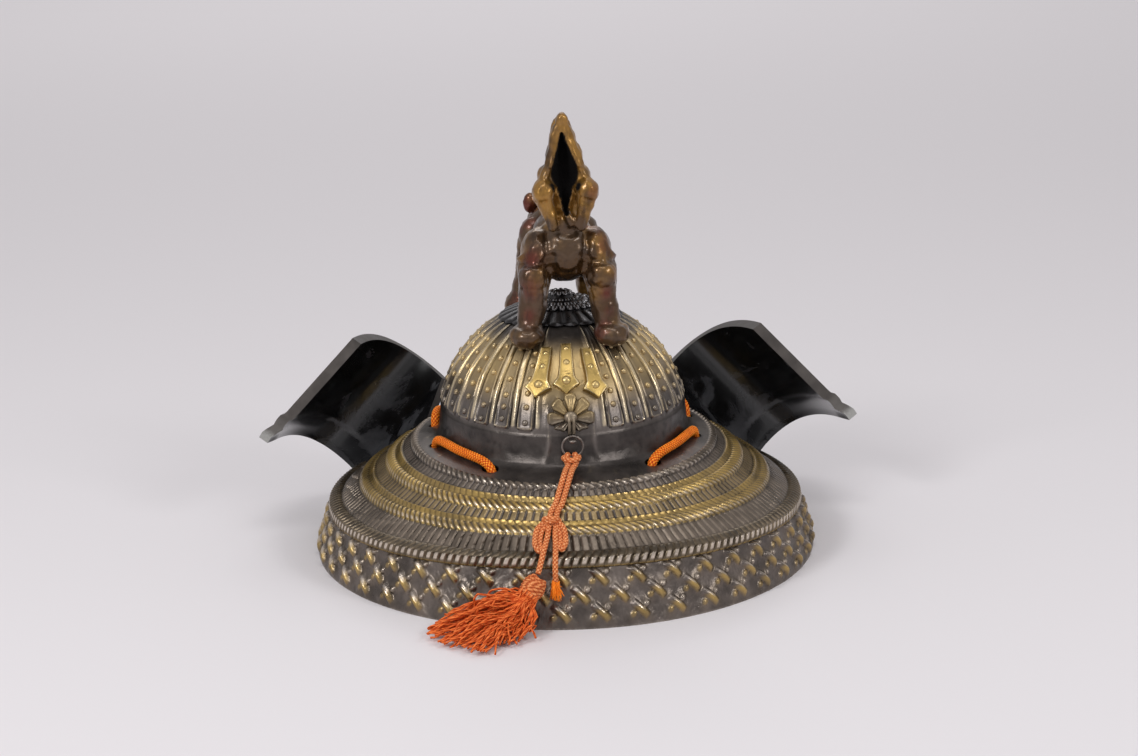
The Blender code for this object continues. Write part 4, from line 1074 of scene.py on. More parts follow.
    def _apron(self, u: float, row: int) -> tuple[Vector, Marks]:
        """Place and marks of one point round the apron's section."""
        column = round(u * self.columns)
        angle = self.angles[column]
        if row > self.apron_rows:
            foot = FORM.rim(angle) - outward_of(FORM.rim(angle)) * FORM.guard_wall
            corner = FORM.ridge(angle) - outward_of(FORM.rim(angle)) * FORM.guard_wall - UP * 2.0
            places = (foot, foot.lerp(corner, 0.5), corner, self._ridge_rope(column, 0.5)[0])
            return places[row - self.apron_rows - 1], PLAIN
        share = row / self.apron_rows
        if share <= self.rope_end:
            return self._ridge_rope(column, 0.5 + 0.5 * share / self.rope_end)
        point = FORM.apron(angle, share)
        depth = (FORM.rim(angle) - FORM.ridge(angle)).length
        height, rub_and_highlight, gilt = self._crossings(self.runs[2.0][column], share, depth)
        pebble = noise.noise(point * 1.1) * 0.16 + noise.noise(point * 0.25) * 0.15
        foot = ease(0.955, 0.985, share)
        relief = min(1.0, 0.4 + 0.3 * pebble + rub_and_highlight * 0.7 + 0.25 * foot)
        proud = (height + pebble) * (1 - foot) * ease(self.rope_end, self.rope_end + 0.05, share)
        soot_and_shade = 0.12 * (1 - min(1.0, height)) * (1 - foot)
        return FORM.apron(angle, share, proud), (relief, gilt * 0.7, soot_and_shade)


@dataclass
class Turnback:
    """A lacquered wing turned back from the guard's front end."""

    palette: Palette
    side: int
    columns: int = 96
    shares: int = 44
    wall: float = 5.0
    length: float = 64.5
    step: float = 1.2
    spread: float = 46.9
    depth: float = 73.0
    inset: float = 4.85
    rise: float = 13.0
    sections: Route = (
        (0.0, 0.00, 0.830), (1.0, 0.10, 0.905), (2.0, 0.20, 0.955), (3.0, 0.30, 0.988),
        (4.0, 0.40, 1.000), (5.0, 0.50, 0.990), (6.0, 0.60, 0.955), (7.0, 0.70, 0.885),
        (8.0, 0.79, 0.785), (9.0, 0.87, 0.660), (10.0, 0.94, 0.515), (11.0, 1.00, 0.360),
    )
    seat: tuple[float, float] = (0.12, 0.97)

    def build(self) -> None:
        """Build the wing."""
        self.ruling = Vector((0.685, 0.0, -0.728)).normalized()
        self.out = Vector((0.817, 0.0, 0.577)).normalized()
        name = "turnback_left" if self.side > 0 else "turnback_right"
        shape = Sculptor()
        shape.skin(self.columns + 1, 2 * self.shares + 2, self._surface)
        relief = shape.layers[0]
        for face in shape.bm.faces:
            ranks = [vert[relief] // 10 for vert in face.verts]
            face.material_index = 1 if max(ranks) > 1.5 or max(ranks) != min(ranks) else 0
        for vert in shape.bm.verts:
            vert[relief] = vert[relief] % 10
        if self.side < 0:
            bmesh.ops.scale(shape.bm, vec=Vector((-1.0, 1.0, 1.0)), verts=shape.bm.verts)
        finishes = [self.palette[Finish.LACQUER], self.palette[Finish.EDGE]]
        shape.publish(name + "_wing", "black_lacquer", finishes, [name], sharp=40.0)

    def _line(self, q: float) -> tuple[float, float]:
        """Spread and place fore and aft of the wing's section."""
        spread, deep = table_at(self.sections, q)
        return spread * self.spread, -deep * self.depth

    def _surface(self, u: float, row: int) -> tuple[Vector, Marks]:
        """Place and marks of one point; the first mark is 10 higher on the wall's back."""
        column = round(u * (self.columns + 1))
        cap = column > self.columns
        q = 12.0 * min(column, self.columns) / self.columns - 1.0
        rows = 2 * self.shares + 1
        row = row % (rows + 1)
        back = row > self.shares
        share = (rows - row if back else row) / self.shares
        step = ease(0.765, 0.80, share) - 0.6 * ease(0.95, 1.0, share)
        lean = max(q, 0.0)
        spread, y = self._line(lean)
        low, high = self._line(max(lean - 0.25, 0.0)), self._line(min(lean + 0.25, 11.0))
        tangent = Vector((high[0] - low[0], high[1] - low[1])).normalized()
        away = self.out * tangent.y + Vector((0.0, -tangent.x, 0.0))
        root_x = FORM.flare_half_width * sin(FORM.guard_end) - self.inset
        root = Vector((root_x, 0.0, FORM.flare_edge + self.rise))
        point = root + self.out * spread + self.ruling * (self.length * share)
        point.y = y
        point += away * (self.step * step * min(1.0, lean / 4))
        point -= self.out * ease(10.2, 11.0, lean) * bell(share - 0.885, 0.022) * 0.7
        nub = ease(0.89, 0.97, share) * ease(10.2, 11.0, lean)
        point += (self.out * 1.3 + self.ruling * 1.9) * nub
        if back and not cap:
            point += away * self.wall
        if q < 0.0:
            clear = 0.3 / 70.0
            sunk = -FORM.guard_wall if back else 0.0
            seat = FORM.slope(FORM.guard_end + clear, mix(*self.seat, share), sunk)
            point = seat.lerp(point, ease(-1.0, 0.0, q))
        root_wear = ease(7.5, 1.5, lean) * ease(0.15, 0.7, share)
        lower = ease(0.80, 0.83, share) * (1 - ease(0.95, 0.97, share))
        relief = 0.42 + 0.55 * nub + (10.0 if back else 0.0) + (20.0 if cap else 0.0)
        return point, (relief, 0.7 * lower * (1 - bell(share - 0.775, 0.02)), root_wear * (1 - lower))


@dataclass
class Peak:
    """The plain peak over the face."""

    palette: Palette
    columns: int = 120
    reach: float = 98.0
    half_angle: float = radians(45.0)
    drop: float = 6.0
    wall: float = 3.0
    end_reach: float = 2.0
    lap: float = 0.3

    def build(self) -> None:
        """Build the peak."""
        shape = Sculptor()
        shape.skin(self.columns, 28, self._surface)
        shape.publish("peak_plate", "aged_iron", [self.palette[Finish.IRON]], ["peak"], sharp=45.0)

    def _surface(self, u: float, row: int) -> tuple[Vector, Marks]:
        """Place and marks of one point round the peak's section."""
        turn = self.half_angle * (2 * u - 1)
        angle = pi + turn
        fade = max(0.0, cos(turn / self.half_angle * pi / 2)) ** 0.5
        row = row % 28
        upper = row >= 14
        share = (27 - row if upper else row) / 13
        point = FORM.flare(angle, mix(0.88, 1.0, min(1.0, share / self.lap))) + UP * 0.3
        if share >= self.lap:
            run = (share - self.lap) / (1 - self.lap)
            reach = self.end_reach + (self.reach - FORM.flare_front - self.end_reach) * fade
            point += outward_of(point) * (reach * run) - UP * (self.drop * fade * run**1.6)
        rim = ease(0.88, 0.95, share)
        thick = UP * self.wall * (0.8 + 0.25 * rim)
        return (point + thick if upper else point), (0.3 + 0.45 * rim, 0.15 * rim, 0.4 * (1 - rim))


@dataclass
class CrownRosette:
    """The black stepped rosette under the figure."""

    palette: Palette
    radius: float = 28.5
    cap: float = 6.0
    profile: tuple[tuple[float, float], ...] = (
        (0.00, 1.00), (0.10, 0.95), (0.19, 0.70), (0.24, 0.38), (0.33, 0.52), (0.40, 0.30),
        (0.50, 0.38), (0.58, 0.20), (0.64, 0.24), (0.97, 0.20), (1.00, 0.10),
    )
    tiers: tuple[tuple[float, int, float], ...] = (
        (0.15, 10, 1.5), (0.27, 16, 1.6), (0.40, 22, 1.75), (0.54, 28, 1.8),
    )
    flutes: int = 26
    rows: int = 44

    def build(self) -> None:
        """Build the fluted base and its tiers of petals."""
        shape = Sculptor()
        shape.skin(312, self.rows + 2, self._surface)
        for share, count, size in self.tiers:
            for petal in range(count):
                turn = 2 * pi * (petal + (count % 4) / 8) / count
                x, y = share * self.radius * sin(turn), share * self.radius * cos(turn)
                centre = Vector((x, y, FORM.dome_height(x, y) + self._height(share) + 0.2))
                tilt = Matrix.Rotation(-turn, 4, "Z") @ Matrix.Rotation(-0.35, 4, "X")
                # Each petal keeps the ball's relief of 0.9, which the finish turns into a silvery bright
                # that is partly rubbing wear and partly a painted highlight.
                shape.ball(centre, (size * 0.78, size * 1.15, size * 0.62), 10, tilt)
        black = [self.palette[Finish.BLACK]]
        shape.publish("crown_rosette_petals", "aged_iron", black, ["crown_rosette"])

    def _height(self, share: float) -> float:
        """Height over the bowl at a share of the radius."""
        return table_at(self.profile, share)[0] * self.cap

    def _surface(self, u: float, row: int) -> tuple[Vector, Marks]:
        """Place and marks of one point of the base."""
        angle = 2 * pi * u
        if row > self.rows:
            foot = 0.0 if row == self.rows + 2 else 6.6
            return Vector((foot * sin(angle), foot * cos(angle), FORM.dome_height(0, 0) - 4.0)), PLAIN
        share = row / self.rows
        wave = abs(sin(angle * self.flutes / 2))
        flute = ease(0.60, 0.68, share) * (1 - ease(0.96, 1.0, share))
        reach = share * self.radius * (1.0 + 0.03 * wave * ease(0.8, 1.0, share))
        x, y = reach * sin(angle), reach * cos(angle)
        height = self._height(share) * (1 - 0.5 * flute) + flute * 0.9 * wave**0.7
        marks = (0.25 + 0.5 * flute * wave, 0.0, 0.35 * flute * (1 - wave))
        return Vector((x, y, FORM.dome_height(x, y) + height)), marks


@dataclass(frozen=True)
class Plate:
    """One gilt plate, from its top on the bowl to its tip."""

    name: str
    top_x: float
    tip_x: float
    top_z: float
    tip_z: float
    size: float
    rivets: tuple[tuple[float, float], ...]


@dataclass
class GiltPlates:
    """The three pointed gilt plates with their rivets."""

    palette: Palette
    proud: float = 1.2
    shoulder: float = 6.0
    rows: int = 24
    outline: tuple[tuple[float, float], ...] = (
        (0.00, 0.42), (0.20, 0.50), (0.45, 0.56), (0.66, 0.68), (0.77, 0.98),
        (0.80, 1.00), (0.84, 0.74), (0.91, 0.40), (1.00, 0.04),
    )
    plates: tuple[Plate, ...] = (
        Plate("gilt_plate_left", 0.152, 0.266, 0.766, 0.394, 0.967, ((0.73, 2.1), (0.37, 1.5), (0.12, 1.2))),
        Plate("gilt_plate_middle", 0.003, 0.028, 0.788, 0.424, 1.0, ((0.72, 2.2), (0.36, 1.6), (0.10, 1.4))),
        Plate(
            "gilt_plate_right", -0.145, -0.221, 0.752, 0.376, 0.933, ((0.73, 2.0), (0.36, 1.5), (0.12, 1.2))
        ),
    )

    def build(self) -> None:
        """Build each plate and its rivets."""
        for plate in self.plates:
            shape = Sculptor()
            shape.skin(90, self.rows, lambda u, row, plate=plate: self._surface(plate, u, row))
            for down, radius in plate.rivets:
                turn = turned(self._place(plate, down, 0.0, 2.0) - self._place(plate, down, 0.0, 1.0))
                shape.ball(self._place(plate, down, 0.0, 0.9), (radius, radius, radius * 0.72), 20, turn)
            for vert in shape.bm.verts:
                if vert[shape.layers[0]] > 0.89 and vert[shape.layers[1]] < 0.01:
                    shape.mark([vert], (0.7, 0.9, 0.0))
            shape.publish(plate.name + "_cast", "gilt", [self.palette[Finish.GILT]], [plate.name])

    def _place(self, plate: Plate, down: float, across: float, proud: float) -> Vector:
        """A place on a plate, from its top at 0 to its tip at 1 and from side to side."""
        x = mix(plate.top_x, plate.tip_x, down) * FORM.half_width
        z = FORM.centre_z + mix(plate.top_z, plate.tip_z, down) * FORM.rise
        half = self.shoulder * plate.size * table_at(self.outline, down)[0]
        return FORM.dome_at(x + half * across, z, proud)

    def _surface(self, plate: Plate, u: float, row: int) -> tuple[Vector, Marks]:
        """Place and marks of one point round the plate's section."""
        row = row % self.rows
        if row >= 16:
            return self._place(plate, u, 1 - 2 * (row - 16) / 7, -1.6), (0.2, 0.5, 0.5)
        across = 2 * (row / 15) - 1
        edge = abs(across)
        end = min(1.0, min(u, 1 - u) * 30)
        lift = self.proud * (1 - ease(0.86, 1.0, edge) * 0.5) * (0.6 + 0.4 * end)
        line = ease(0.68, 0.82, edge) * (1 - ease(0.9, 1.0, edge))
        proud = 0.3 + lift - 0.25 * ease(0.82, 0.66, edge)
        return self._place(plate, u, across, proud), (0.42 + 0.5 * line, 0.9, 0.25 * ease(0.3, 0.0, u))


@dataclass
class RearFittings:
    """The petalled rosette with its eyelet, the tongue, the staple and the ring."""

    palette: Palette
    radius: float = 10.6
    z: float = 77.0
    petals: int = 8
    tongue: tuple[tuple[float, float], ...] = ((77.6, 2.6), (75.4, 2.9), (73.0, 2.4), (70.6, 1.9))
    ring_radius: float = 4.75
    ring_wire: float = 0.5
    ring_z: float = 66.0
    ring_y: float = 71.45
    ring_sides: int = 12

    def build(self) -> None:
        """Build the rosette with its boss and eyelet, the staple and the ring."""
        shape = Sculptor()
        shape.skin(192, 22, self._petals)
        turn = turned((FORM.dome_at(0.2, 77.6, 2.0) - FORM.dome_at(0.2, 77.6, 1.0)).normalized())
        shape.ball(FORM.dome_at(0.2, 77.6, 1.6), (3.0, 2.7, 1.7), 24, turn)
        for side in (-1, 1):
            path = [FORM.dome_at(side * 0.95, z, proud) for z, proud in self.tongue]
            shape.tube(smooth_route(path, 0.7), 10, lambda run, share, around: 0.78)
        for vert in shape.bm.verts:
            if vert[shape.layers[0]] >= 0.5 and vert[shape.layers[1]] == 0.0:
                shape.mark([vert], (0.62, 0.2, 0.15))
        shape.publish("rear_rosette_cast", "gilt", [self.palette[Finish.BOWL]], ["rear_rosette"])
        eye = self.ring_z + self.ring_radius - 2.1
        band = FORM.flare(0.0, 0.0).y
        half = ((1.3, band - 1.0, eye + 0.7), (1.3, band + 2.4, eye + 0.5), (1.2, self.ring_y + 0.6, eye))
        half += ((0.5, self.ring_y + 1.5, eye),)
        legs = [(-x, y, z) for x, y, z in half] + list(reversed(half))
        wire = [self.palette[Finish.WIRE]]
        staple, ring = Sculptor(), Sculptor()
        staple.tube(smooth_route(legs, 0.5), 12, lambda run, share, around: 0.7)
        staple.publish("ring_staple_wire", "dark_steel", wire, ["ring_staple"])
        ring.skin(72, self.ring_sides, self._ring)
        ring.publish("cord_ring_wire", "dark_steel", wire, ["cord_ring"])

    def _petals(self, u: float, row: int) -> tuple[Vector, Marks]:
        """Place and marks of one point of the petals, with a painted highlight on their edges and veins,
        stronger on the upper petals, and painted shade in the creases.
        """
        turn = 2 * pi * u
        lobe = abs(((u * self.petals + 0.5) % 1.0) - 0.5) * 2
        lower = ease(-0.35, -0.75, cos(turn))
        share = min(1.0, row / 19)
        reach = self.radius * (1.0 - 0.2 * ease(0.45, 1.0, lobe)) * (1.0 - 0.34 * lower) * share
        petal = ease(0.2, 0.4, share) * (1 - ease(0.9, 1.0, share))
        crease = bell(1 - lobe, 0.2) * ease(0.25, 0.4, share)
        edge = max(bell(share - 0.88, 0.06), bell(lobe - 0.68, 0.14) * petal)
        vein = bell(lobe, 0.14) * ease(0.35, 0.5, share) * (1 - ease(0.7, 0.85, share))
        height = 0.5 + petal * 0.5 + 0.4 * edge * (1 - crease) + 0.25 * vein - 0.5 * crease
        if row > 19:
            height = -1.6
            reach *= (22 - row) / 3
        # The upper petals get a stronger painted highlight and more gilding.
        upper = ease(-0.3, 0.5, cos(turn))
        painted_highlight = edge * (1 - crease) * mix(0.25, 0.7, upper) + 0.3 * vein
        point = FORM.dome_at(reach * sin(turn), self.z + reach * cos(turn), height)
        return point, (0.3 + 0.5 * painted_highlight, 0.15 + 0.55 * upper, min(1.0, 0.8 * crease + 0.25))

    def _ring(self, u: float, row: int) -> tuple[Vector, Marks]:
        """Place and marks of one point of the ring."""
        turn, around = 2 * pi * u, 2 * pi * row / self.ring_sides
        radius = self.ring_radius + self.ring_wire * cos(around)
        y = self.ring_y + self.ring_wire * sin(around)
        return Vector((radius * sin(turn), y, self.ring_z + radius * cos(turn))), (0.55, 0.0, 0.0)


@dataclass
class Figure:
    """The shishi on the crown, cast in one with its plumed tail.

    A ball or limb whose first number is 1 is mirrored too.
    """

    palette: Palette
    offset_x: float = -2.0
    crown: float = 116.0
    voxel: float = 0.85
    balls: tuple[tuple[int, Point, Point], ...] = (
        (0, (0, 18, 29), (15.5, 15, 15)), (0, (0, -4, 29), (14.5, 26, 15)),
        (0, (0, -28, 27), (15.5, 14, 17)),
        (1, (13.0, 22, 28), (8.0, 12, 12)), (1, (16.0, 30, 12), (6.6, 8, 9)),
        (1, (19.3, 35.5, -7), (8.4, 9.5, 6.0)), (1, (11.5, -27, 25), (8, 10, 12)),
        (0, (20.5, -34, -8), (6.6, 8.0, 5.6)), (0, (-14.5, -36, -8.5), (7.0, 8.5, 5.6)),
        (0, (1.5, -45, 30), (13, 13, 13)), (1, (6.5, -56, 34), (5, 4, 4)),
        (0, (1.5, -59, 25), (9.5, 8, 6.5)),
        (0, (1.5, -55, 17), (8, 8, 4.5)), (0, (1.5, -66, 27), (3.6, 2.6, 2.6)),
        (0, (13.2, -38, 40.4), (3.4, 3.2, 5.4)), (0, (-11.0, -38, 34), (3.4, 3.0, 4.6)),
        (1, (11.0, -40, 26), (6.0, 7, 8)), (1, (8.5, -44, 15), (6, 7, 7)), (0, (1.5, -52, 11), (6, 6, 6)),
        (0, (0, 24, 42), (7.0, 6.0, 8)), (1, (15.5, 32.5, 19), (7.0, 6.6, 7.6)),
        (1, (10.2, 29.5, 58), (5.4, 6.0, 6.4)), (1, (7.6, 24, 63), (4.4, 5.0, 7.0)),
        (1, (5.0, 24, 72), (4.0, 4.4, 7.5)), (1, (2.4, 24.5, 80), (3.4, 4.0, 7.0)),
        (0, (0.8, 26.5, 89.6), (3.0, 3.6, 4.4)), (0, (0.6, 26.5, 85), (3.6, 3.8, 6.0)),
        (0, (0, 21.5, 60), (9.5, 4.2, 22)), (0, (0.4, 20.5, 74), (6.6, 4.2, 18)),
        (1, (6.4, 31.5, 42.8), (2.3, 2.4, 3.4)),
    )
    limbs: tuple[tuple[int, Point, float, Point, float], ...] = (
        (1, (14.0, 23, 26), 9.0, (16.0, 31, 9), 6.4), (1, (16.0, 31, 9), 6.4, (18.3, 33, -6), 6.2),
        (0, (12.5, -28, 24), 8.0, (15.5, -33, 6), 5.8), (0, (-11.0, -28, 24), 8.0, (-13.0, -34, 6), 6.0),
        (0, (15.5, -33, 6), 5.8, (19.0, -34, -7), 5.4), (0, (-13.0, -34, 6), 6.0, (-14.0, -35, -8), 5.6),
        (1, (10.4, 29.5, 58), 5.2, (6.4, 31.5, 42.5), 2.3),
        (0, (2.4, 27, 87), 2.2, (6.8, 27.5, 69), 3.0), (0, (-0.8, 27, 87), 2.2, (-6.4, 27.5, 69), 3.0),
        (0, (5.4, 27, 74), 1.8, (9.8, 27.5, 62), 2.9), (0, (-4.8, 27, 74), 1.8, (-9.6, 27.5, 62), 2.9),
        (0, (0.8, 30, 52), 2.2, (-2.6, 31.5, 42), 1.6),
    )
    stains: tuple[tuple[Point, float], ...] = (
        ((17.0, 32.0, 27.0), 5.0), ((18.0, 40.0, 15.0), 5.0), ((19.0, 40.5, 3.0), 3.6),
        ((-19.0, 32.0, 20.0), 4.0), ((-17.0, 39.0, 12.0), 3.0), ((-15.5, 30.0, 56.0), 4.5),
        ((16.0, 28.0, 53.0), 3.0), ((15.0, -38.0, 40.0), 6.0), ((-18.5, 40.0, 4.0), 2.6),
    )
    slot_floor: float = 22.5
    slot_back: float = 40.0
    slot_taper: tuple[float, float] = (0.5, 1.6)
    slot: tuple[tuple[float, float], ...] = (
        (47, 0.3), (50, 1.2), (54, 2.8), (58, 4.4), (62, 5.7), (66, 6.1),
        (70, 5.1), (74, 3.7), (78, 2.4), (82, 1.1), (85, 0.3),
    )

    def build(self) -> None:
        """Build the figure from its forms, skin it and carve it."""
        shape = Sculptor()
        for mirrored, centre, sizes in self.balls:
            for side in (1, -1) if mirrored else (1,):
                shape.ball(self._sided(centre, side), sizes, 20)
        for mirrored, first, first_radius, last, last_radius in self.limbs:
            for side in (1, -1) if mirrored else (1,):
                start, end = self._sided(first, side), self._sided(last, side)
                path = smooth_route([start, (start + end) / 2, end], 3.0)
                radii = (first_radius, last_radius)
                shape.tube(path, 16, lambda run, share, around, radii=radii: mix(*radii, share))
        bm = shape.bm
        to_frame(bm, self.place)
        bmesh.ops.remove_doubles(bm, verts=bm.verts, dist=WELD)
        bmesh.ops.recalc_face_normals(bm, faces=bm.faces)
        piece = write("shishi_cast", bm, self.palette[Finish.GLAZE])
        skin = piece.modifiers.new("skin", "REMESH")
        skin.mode = "VOXEL"
        skin.voxel_size = self.voxel * MM
        carve(piece, self._slot_tool())
        self._chase(piece.data)
        piece.data.shade_smooth()
        register(piece, ["shishi_figure"])

    @property
    def place(self) -> Vector:
        """The figure's place in the plan, with the plan's own shift."""
        return Vector((self.offset_x, 0.0, self.crown)) + PLAN_SHIFT

    @staticmethod
    def _sided(point: Point, side: int) -> Vector:
        """A point on one side of the figure."""
        return Vector((point[0] * side, point[1], point[2]))

    def _chase(self, mesh: bpy.types.Mesh) -> None:
        """Work the skin: uneven cast surface, creases, and its marks of glaze stains, gilding and painted
        shade.
        """
        bm = bmesh.new()
        bm.from_mesh(mesh)
        floats = bm.verts.layers.float
        layers = [floats.get(name) or floats.new(name) for name in MARKS]
        for _ in range(2):
            axes = {"use_axis_x": True, "use_axis_y": True, "use_axis_z": True}
            bmesh.ops.smooth_vert(bm, verts=bm.verts, factor=0.5, **axes)
        bm.normal_update()
        moved = []
        for vert in bm.verts:
            place = vert.co / MM - self.place
            rise, marks = self._skin(place, ease(0.2, 0.7, vert.normal.y))
            moved.append(vert.normal * rise * MM)
            for layer, value in zip(layers, marks):
                vert[layer] = value
        for vert, shift in zip(bm.verts, moved):
            vert.co += shift
        bm.to_mesh(mesh)
        bm.free()

    def _skin(self, place: Vector, rear: float) -> tuple[float, Marks]:
        """Height and marks of the cast skin at one place.

        Args:
            place: The place in the figure's own millimetres.
            rear: From 0 to 1, how far the skin faces the back.

        Returns:
            The height, and the stain, gilding and painted shade.
        """
        x, y, z = abs(place.x), place.y, place.z
        swell = noise.noise(place * 0.11) * 0.8 + noise.noise(place * 0.28) * 0.45
        swell += noise.noise(place * 0.7) * 0.16
        knee = bell(z - 27.5 + 0.12 * x, 1.1) * ease(8.0, 12.0, x) * ease(20.0, 26.0, y)
        ankle = bell(z + 2.0, 1.0) * ease(22.0, 30.0, y)
        lock = sin(z * 0.55 + x * 1.1) * 0.35 if z > 60.0 else 0.0
        if 40.0 < z < 64.0 and x > 5.0:
            lock -= bell(x - 9.4 - 0.12 * (z - 52.0), 0.7) * 0.6
        if 14.0 < z < 40.0 and x < 13.0 and y > 20.0:
            lock = sin(z * 1.1 + cos(place.x * 0.5) * 1.6) * 0.28 - 1.2 * bell(x - 9.0, 1.6)
        half = table_at(self.slot, z)[0] if 47.0 < z < 85.0 else 0.0
        half *= mix(*self.slot_taper, (y - self.slot_floor) / (self.slot_back - self.slot_floor))
        off = abs(place.x - ease(60.0, 85.0, z))
        within = ease(half + 1.0, half + 0.3, off) if half > 0.2 else 0.0
        within *= ease(self.slot_floor - 2.0, self.slot_floor - 1.0, y)
        seam = bell(place.x, 0.8) * ease(40.0, 44.0, z) * ease(50.0, 47.0, z)
        stain = max(bell((place - Vector(spot)).length, reach) for spot, reach in self.stains)
        # Painted shade inside the plume's slot, along the seam below it and in the knee creases.
        marks = (stain, ease(36.0, 46.0, z) * ease(12.0, 18.0, y), max(within, 0.6 * seam, 0.35 * knee))
        return swell - 0.9 * knee - 0.6 * ankle + lock * rear, marks

    def _slot_tool(self) -> bpy.types.Object:
        """The wedge that opens the back of the plume."""
        shape = Sculptor()
        shape.skin(4, len(self.slot) - 1, self._slot_surface)
        to_frame(shape.bm, self.place)
        bmesh.ops.remove_doubles(shape.bm, verts=shape.bm.verts, dist=WELD)
        close(shape.bm)
        return write("plume_slot", shape.bm)

    def _slot_surface(self, u: float, row: int) -> tuple[Vector, Marks]:
        """Place of one corner of the wedge."""
        z, half = self.slot[row]
        low, high = half * self.slot_taper[0], half * self.slot_taper[1]
        back, floor = self.slot_back, self.slot_floor
        x, y = ((-high, back), (high, back), (low, floor), (-low, floor))[round(u * 4) % 4]
        return Vector((x + ease(60.0, 85.0, z), y, z)), (0.0, 0.0, 0.0)


def braid(run: float, turn: float, strands: int, pitch: float) -> float:
    """Height from 0 to 1 of a diamond braid at a place on a cord."""
    lean = pi * run / pitch
    return (abs(sin(turn * strands / 2 + lean)) * abs(sin(turn * strands / 2 - lean))) ** 0.6


@dataclass
class Braid:
    """A braided cord's palette, its radius, and its count of strands and pitch."""

    palette: Palette
    radius: float
    stitch: tuple[int, float]
    ground: float
    relief: float

    def _radius(self, run: float, share: float, turn: float) -> float:
        """Radius of the braid."""
        return self.radius * (self.ground + self.relief * braid(run, turn, *self.stitch))

    def _marks(self, run: float, share: float, turn: float) -> Marks:
        """Marks of the braid: its height as relief, which the cord finishes turn into painted shade in the
        gaps and a painted highlight on the crowns.
        """
        return braid(run, turn, *self.stitch), 0.0, 0.0

    def _declare(self, piece: bpy.types.Object, path: Sequence[Vector], **facts: object) -> None:
        """Meant for a limp cord that hangs along a path; does nothing with the piece, the path or the facts.
        """


@dataclass
class ChinCord(Braid):
    """The orange braided loop through the flare's holes."""

    radius: float = 2.15
    stitch: tuple[int, float] = (7, 1.7)
    ground: float = 0.78
    relief: float = 0.24
    route: Route = (
        (0.6, 60.0, 47.0), (18.0, 60.2, 46.2), (30.0, 61.2, 45.6), (35.2, 62.2, 47.8), (36.0, 62.6, 52.6),
        (37.4, 60.6, 55.4), (41.2, 55.6, 57.2), (49.9, 42.4, 57.8), (57.0, 27.9, 58.1), (59.6, 21.6, 57.2),
        (60.6, 18.0, 53.6), (60.6, 16.6, 49.0), (60.6, 11.6, 45.8), (60.8, 2.0, 45.2), (60.6, -10.0, 45.8),
        (60.2, -15.4, 48.8), (60.3, -16.9, 53.5), (60.1, -19.2, 57.4),
        (59.0, -25.0, 58.9), (57.0, -31.0, 57.6),
        (55.7, -33.6, 53.5), (54.6, -35.0, 48.6), (53.4, -37.0, 40.0),
        (52.4, -41.0, 24.0), (50.0, -44.0, 10.0),
        (42.0, -47.0, 3.6), (30.0, -49.0, 2.6), (14.0, -50.5, 2.5), (0.0, -51.0, 2.5),
    )

    def build(self) -> None:
        right = [(-x, y, z) for x, y, z in reversed(self.route[:-1])]
        path = smooth_route([*self.route, *right], 0.45)
        shape = Sculptor()
        shape.tube(path, 36, self._radius, self._marks)
        orange = [self.palette[Finish.CHIN]]
        piece = shape.publish("chin_cord_braid", "orange_braid", orange, ["chin_cord"], 180.0)
        self._declare(piece, path, far_end="object")


